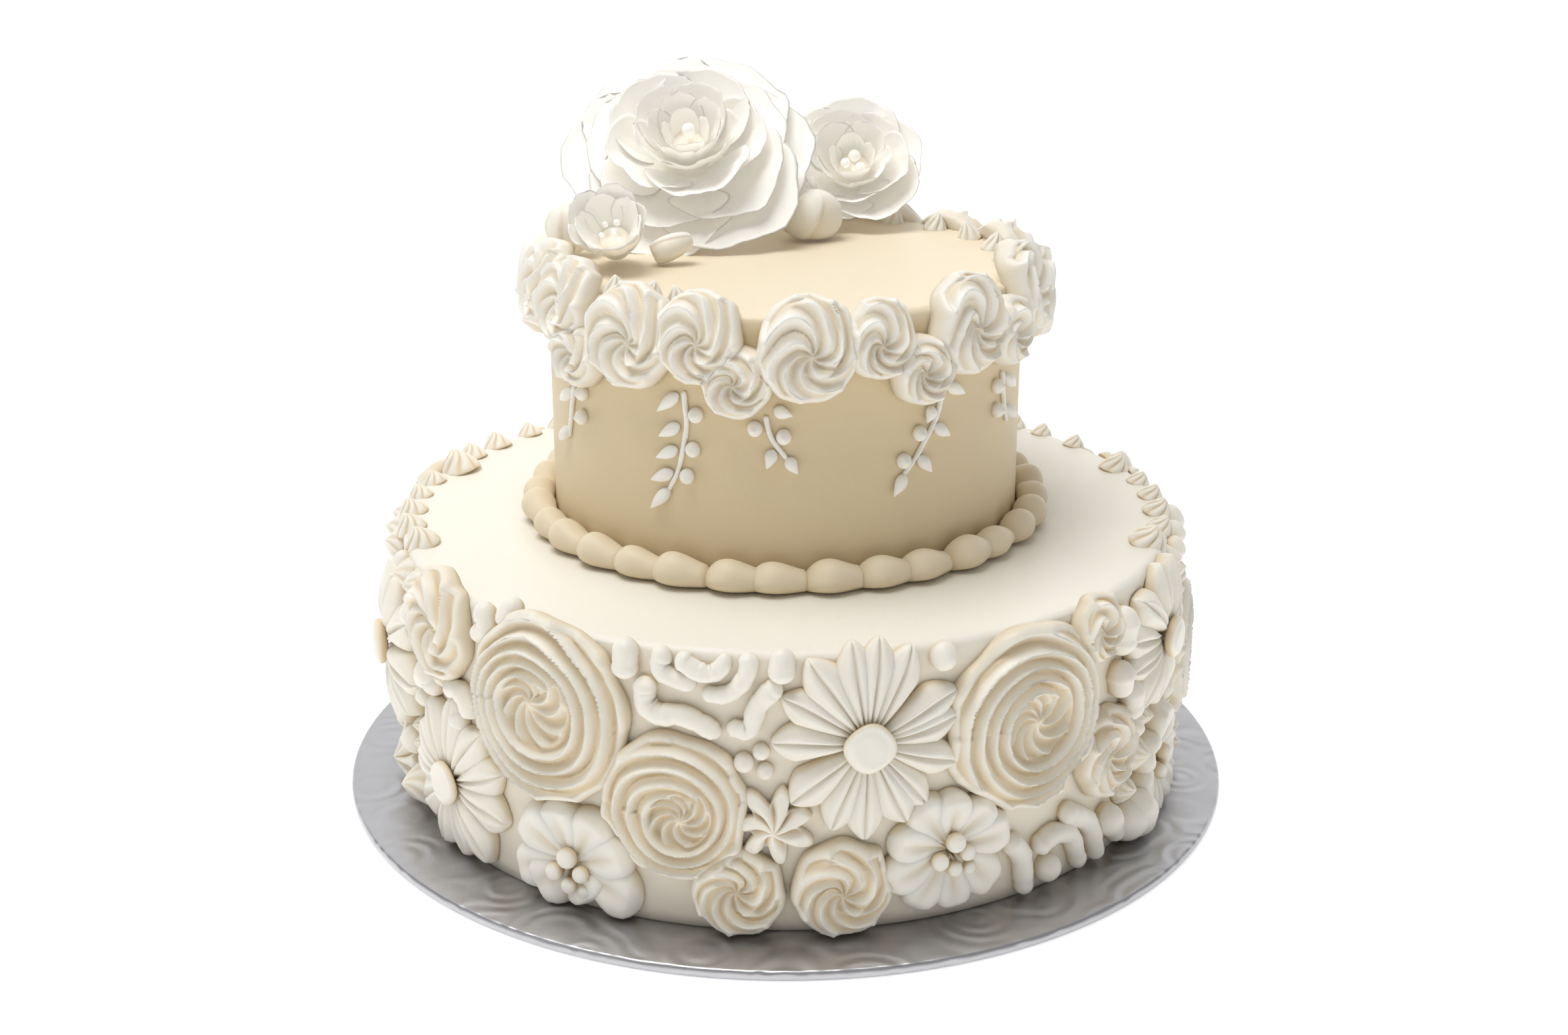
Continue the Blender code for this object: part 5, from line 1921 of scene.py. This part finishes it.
@dataclass(frozen=True)
class Icing:
    """A finish of icing or sugar: its own colour, the colour of the shade painted where its shade layer is
    high, and its surface.
    """

    name: str
    light: tuple[float, float, float]
    # Colour of the painted shade in creases, undersides and gaps
    deep: tuple[float, float, float]
    roughness: float
    sheen: float
    mottle: float = 0.12
    pores: float = 0.5
    drag: float = 0.6
    depth: float = 0.00022
    translucence: float = 0.18
    # Strength of the painted light that the finish emits
    painted_emission: float = 0.0

    def build(self) -> bpy.types.Material:
        """Makes the finish.

        Returns:
            The material.
        """
        material, tree, shader = new_material(self.name)
        tone = tree.add("ShaderNodeGroup", node_tree=bpy.data.node_groups["mottle_and_painted_shade"])
        tone.inputs["Light"].default_value = (*self.light, 1.0)
        tone.inputs["Painted Shade"].default_value = (*self.deep, 1.0)
        tone.inputs["Mottle"].default_value = self.mottle
        tree.join(tone.outputs["Color"], shader.inputs["Base Color"])
        grain = tree.add("ShaderNodeGroup", node_tree=bpy.data.node_groups["creamy_grain"])
        grain.inputs["Pores"].default_value = self.pores
        grain.inputs["Drag"].default_value = self.drag
        bump = tree.add("ShaderNodeBump")
        bump.inputs["Strength"].default_value = 0.6
        bump.inputs["Distance"].default_value = self.depth
        tree.join(grain.outputs["Height"], bump.inputs["Height"])
        tree.join(bump.outputs["Normal"], shader.inputs["Normal"])
        shader.inputs["Roughness"].default_value = self.roughness
        shader.inputs["Specular IOR Level"].default_value = self.sheen
        shader.inputs["Subsurface Weight"].default_value = self.translucence
        shader.inputs["Subsurface Radius"].default_value = (1.0, 0.75, 0.5)
        shader.inputs["Subsurface Scale"].default_value = 0.003
        # Painted light: the finish emits its own colour, so it looks lit from within though it is no lamp
        shader.inputs["Emission Color"].default_value = (*self.light, 1.0)
        shader.inputs["Emission Strength"].default_value = self.painted_emission
        return material


@dataclass(frozen=True)
class Foil:
    """Silver cake-board foil with a fine pressed pattern."""

    name: str
    colour: tuple[float, float, float]

    def build(self) -> bpy.types.Material:
        """Makes the finish.

        Returns:
            The material.
        """
        material, tree, shader = new_material(self.name)
        shader.inputs["Base Color"].default_value = (*self.colour, 1.0)
        shader.inputs["Metallic"].default_value = 1.0
        place = tree.add("ShaderNodeTexCoord")
        cells = tree.add("ShaderNodeTexVoronoi", feature="SMOOTH_F1")
        cells.inputs["Scale"].default_value = 42.0
        cells.inputs["Smoothness"].default_value = 0.4
        tree.join(place.outputs["Object"], cells.inputs["Vector"])
        rings = tree.math("SINE", tree.math("MULTIPLY", cells.outputs["Distance"], 30.0), 0.0)
        crumple = tree.math("MULTIPLY", tree.noise(150.0, 4.0), 1.4)
        bump = tree.add("ShaderNodeBump")
        bump.inputs["Strength"].default_value = 0.42
        bump.inputs["Distance"].default_value = 0.0003
        tree.join(tree.math("ADD", rings, crumple), bump.inputs["Height"])
        tree.join(bump.outputs["Normal"], shader.inputs["Normal"])
        dull = tree.math("MULTIPLY", tree.noise(90.0, 3.0), 0.22)
        tree.join(tree.math("ADD", dull, 0.3), shader.inputs["Roughness"])
        return material


def sweep_backdrop() -> None:
    """Makes the white floor that runs up into a wall, as a staged surface."""
    mesh = bmesh.new()
    line = [(-3.0, 0.0), (2.0, 0.0)]
    for angle in np.linspace(0.0, math.pi / 2.0, 13)[1:]:
        line.append((2.0 + math.sin(angle), 1.0 - math.cos(angle)))
    line.append((3.0, 4.0))
    verts = [mesh.verts.new((-5.0, y, z)) for y, z in line]
    edges = [mesh.edges.new(pair) for pair in zip(verts, verts[1:])]
    made = bmesh.ops.extrude_edge_only(mesh, edges=edges)
    moved = [item for item in made["geom"] if isinstance(item, bmesh.types.BMVert)]
    bmesh.ops.translate(mesh, vec=(10.0, 0.0, 0.0), verts=moved)
    bmesh.ops.recalc_face_normals(mesh, faces=mesh.faces)
    data = bpy.data.meshes.new("studio_sweep")
    mesh.to_mesh(data)
    mesh.free()
    data.shade_smooth()
    material, _, shader = new_material("studio_white")
    shader.inputs["Base Color"].default_value = (0.9, 0.9, 0.9, 1.0)
    shader.inputs["Roughness"].default_value = 0.7
    shader.inputs["Emission Color"].default_value = (1.0, 1.0, 1.0, 1.0)
    shader.inputs["Emission Strength"].default_value = 0.55
    data.materials.append(material)
    sweep = bpy.data.objects.new("studio_sweep", data)
    bpy.context.scene.collection.objects.link(sweep)


@dataclass(frozen=True)
class AreaLamp:
    """A soft square light that faces the middle of the cake, in metres and watts."""

    name: str
    place: tuple[float, float, float]
    size: float
    power: float
    colour: tuple[float, float, float]

    def build(self) -> None:
        """Hangs the lamp."""
        data = bpy.data.lights.new(self.name, "AREA")
        data.shape = "SQUARE"
        data.size = self.size
        data.energy = self.power
        data.color = self.colour
        lamp = bpy.data.objects.new(self.name, data)
        bpy.context.scene.collection.objects.link(lamp)
        lamp.location = self.place
        towards = Vector((0.0, 0.0, 0.11)) - Vector(self.place)
        lamp.rotation_euler = towards.to_track_quat("-Z", "Y").to_euler()


@dataclass(frozen=True)
class PhotoCamera:
    """The photograph's camera: place in metres, dip in degrees, lens and film width."""

    place: tuple[float, float, float] = (0.0, -0.6717, 0.3276)
    dip: float = 19.57
    lens: float = 47.43
    film: float = 36.0
    shift: float = -0.001

    def build(self) -> None:
        """Sets up the camera and makes it the scene's own."""
        data = bpy.data.cameras.new("photo_camera")
        data.sensor_width = self.film
        data.lens = self.lens
        data.shift_x = self.shift
        data.clip_end = 50.0
        camera = bpy.data.objects.new("photo_camera", data)
        camera.location = self.place
        camera.rotation_euler = (math.radians(90.0 - self.dip), 0.0, 0.0)
        bpy.context.scene.collection.objects.link(camera)
        bpy.context.scene.camera = camera


def set_stage(room_light: float) -> None:
    """Sets the backdrop, the light and the camera of the photograph.

    Args:
        room_light: Strength of the white light from all round.
    """
    scene = bpy.context.scene
    sweep_backdrop()
    world = bpy.data.worlds.new("white_room")
    world.use_nodes = True
    background = world.node_tree.nodes["Background"]
    background.inputs["Color"].default_value = (1.0, 1.0, 1.0, 1.0)
    background.inputs["Strength"].default_value = room_light
    scene.world = world
    AreaLamp("window_key", (-0.3, -0.12, 1.35), 0.8, 12.1, (1.0, 0.995, 0.98)).build()
    AreaLamp("side_key", (-1.3, -0.7, 0.7), 0.5, 0.5, (1.0, 0.99, 0.97)).build()
    scene.view_settings.view_transform = "Standard"
    scene.view_settings.look = "None"
    scene.view_settings.exposure = 0.0
    PhotoCamera().build()


def main() -> None:
    """Builds the finishes, the cake from the board up, and the stage."""
    logging.basicConfig(level=logging.INFO, format="%(message)s")
    mottle_and_painted_shade()
    creamy_grain()
    # The second colour of each finish is that of its painted shade
    ivory = Icing("ivory_cream", (0.9, 0.865, 0.78), (0.75, 0.61, 0.4), 0.42, 0.4).build()
    beige = Icing("beige_cream", (0.865, 0.755, 0.565), (0.72, 0.59, 0.38), 0.46, 0.35).build()
    white = Icing("white_cream", (0.92, 0.895, 0.83), (0.8, 0.7, 0.53), 0.4, 0.4).build()
    # The sugar petals emit a little of their own colour, painted light that brightens their shaded hollows
    petal = Icing(
        "white_sugar", (0.97, 0.95, 0.905), (0.95, 0.88, 0.75), 0.6, 0.25, pores=0.25, drag=0.8,
        translucence=0.1, painted_emission=0.08,
    ).build()
    foil = Foil("pressed_foil", (0.5, 0.5, 0.52)).build()
    FoilBoard(foil).build()
    LowerTier(LOWER, ivory, Slot.IVORY).dress(LOWER_FLOWERS)
    UpperTier(UPPER, beige, Slot.BEIGE).dress(white)
    BeadBorder(beige).build()
    PipedFlowers(LOWER, LOWER_FLOWERS, ivory, Slot.IVORY).build()
    PipedFlowers(UPPER, rim_flowers(), white, Slot.WHITE).build()
    for flower in SUGAR_FLOWERS:
        flower.build(petal)
    for bud in BUDS:
        bud.build(ivory)
    Globe.clear()
    set_stage(0.34)


if __name__ == "__main__":
    main()
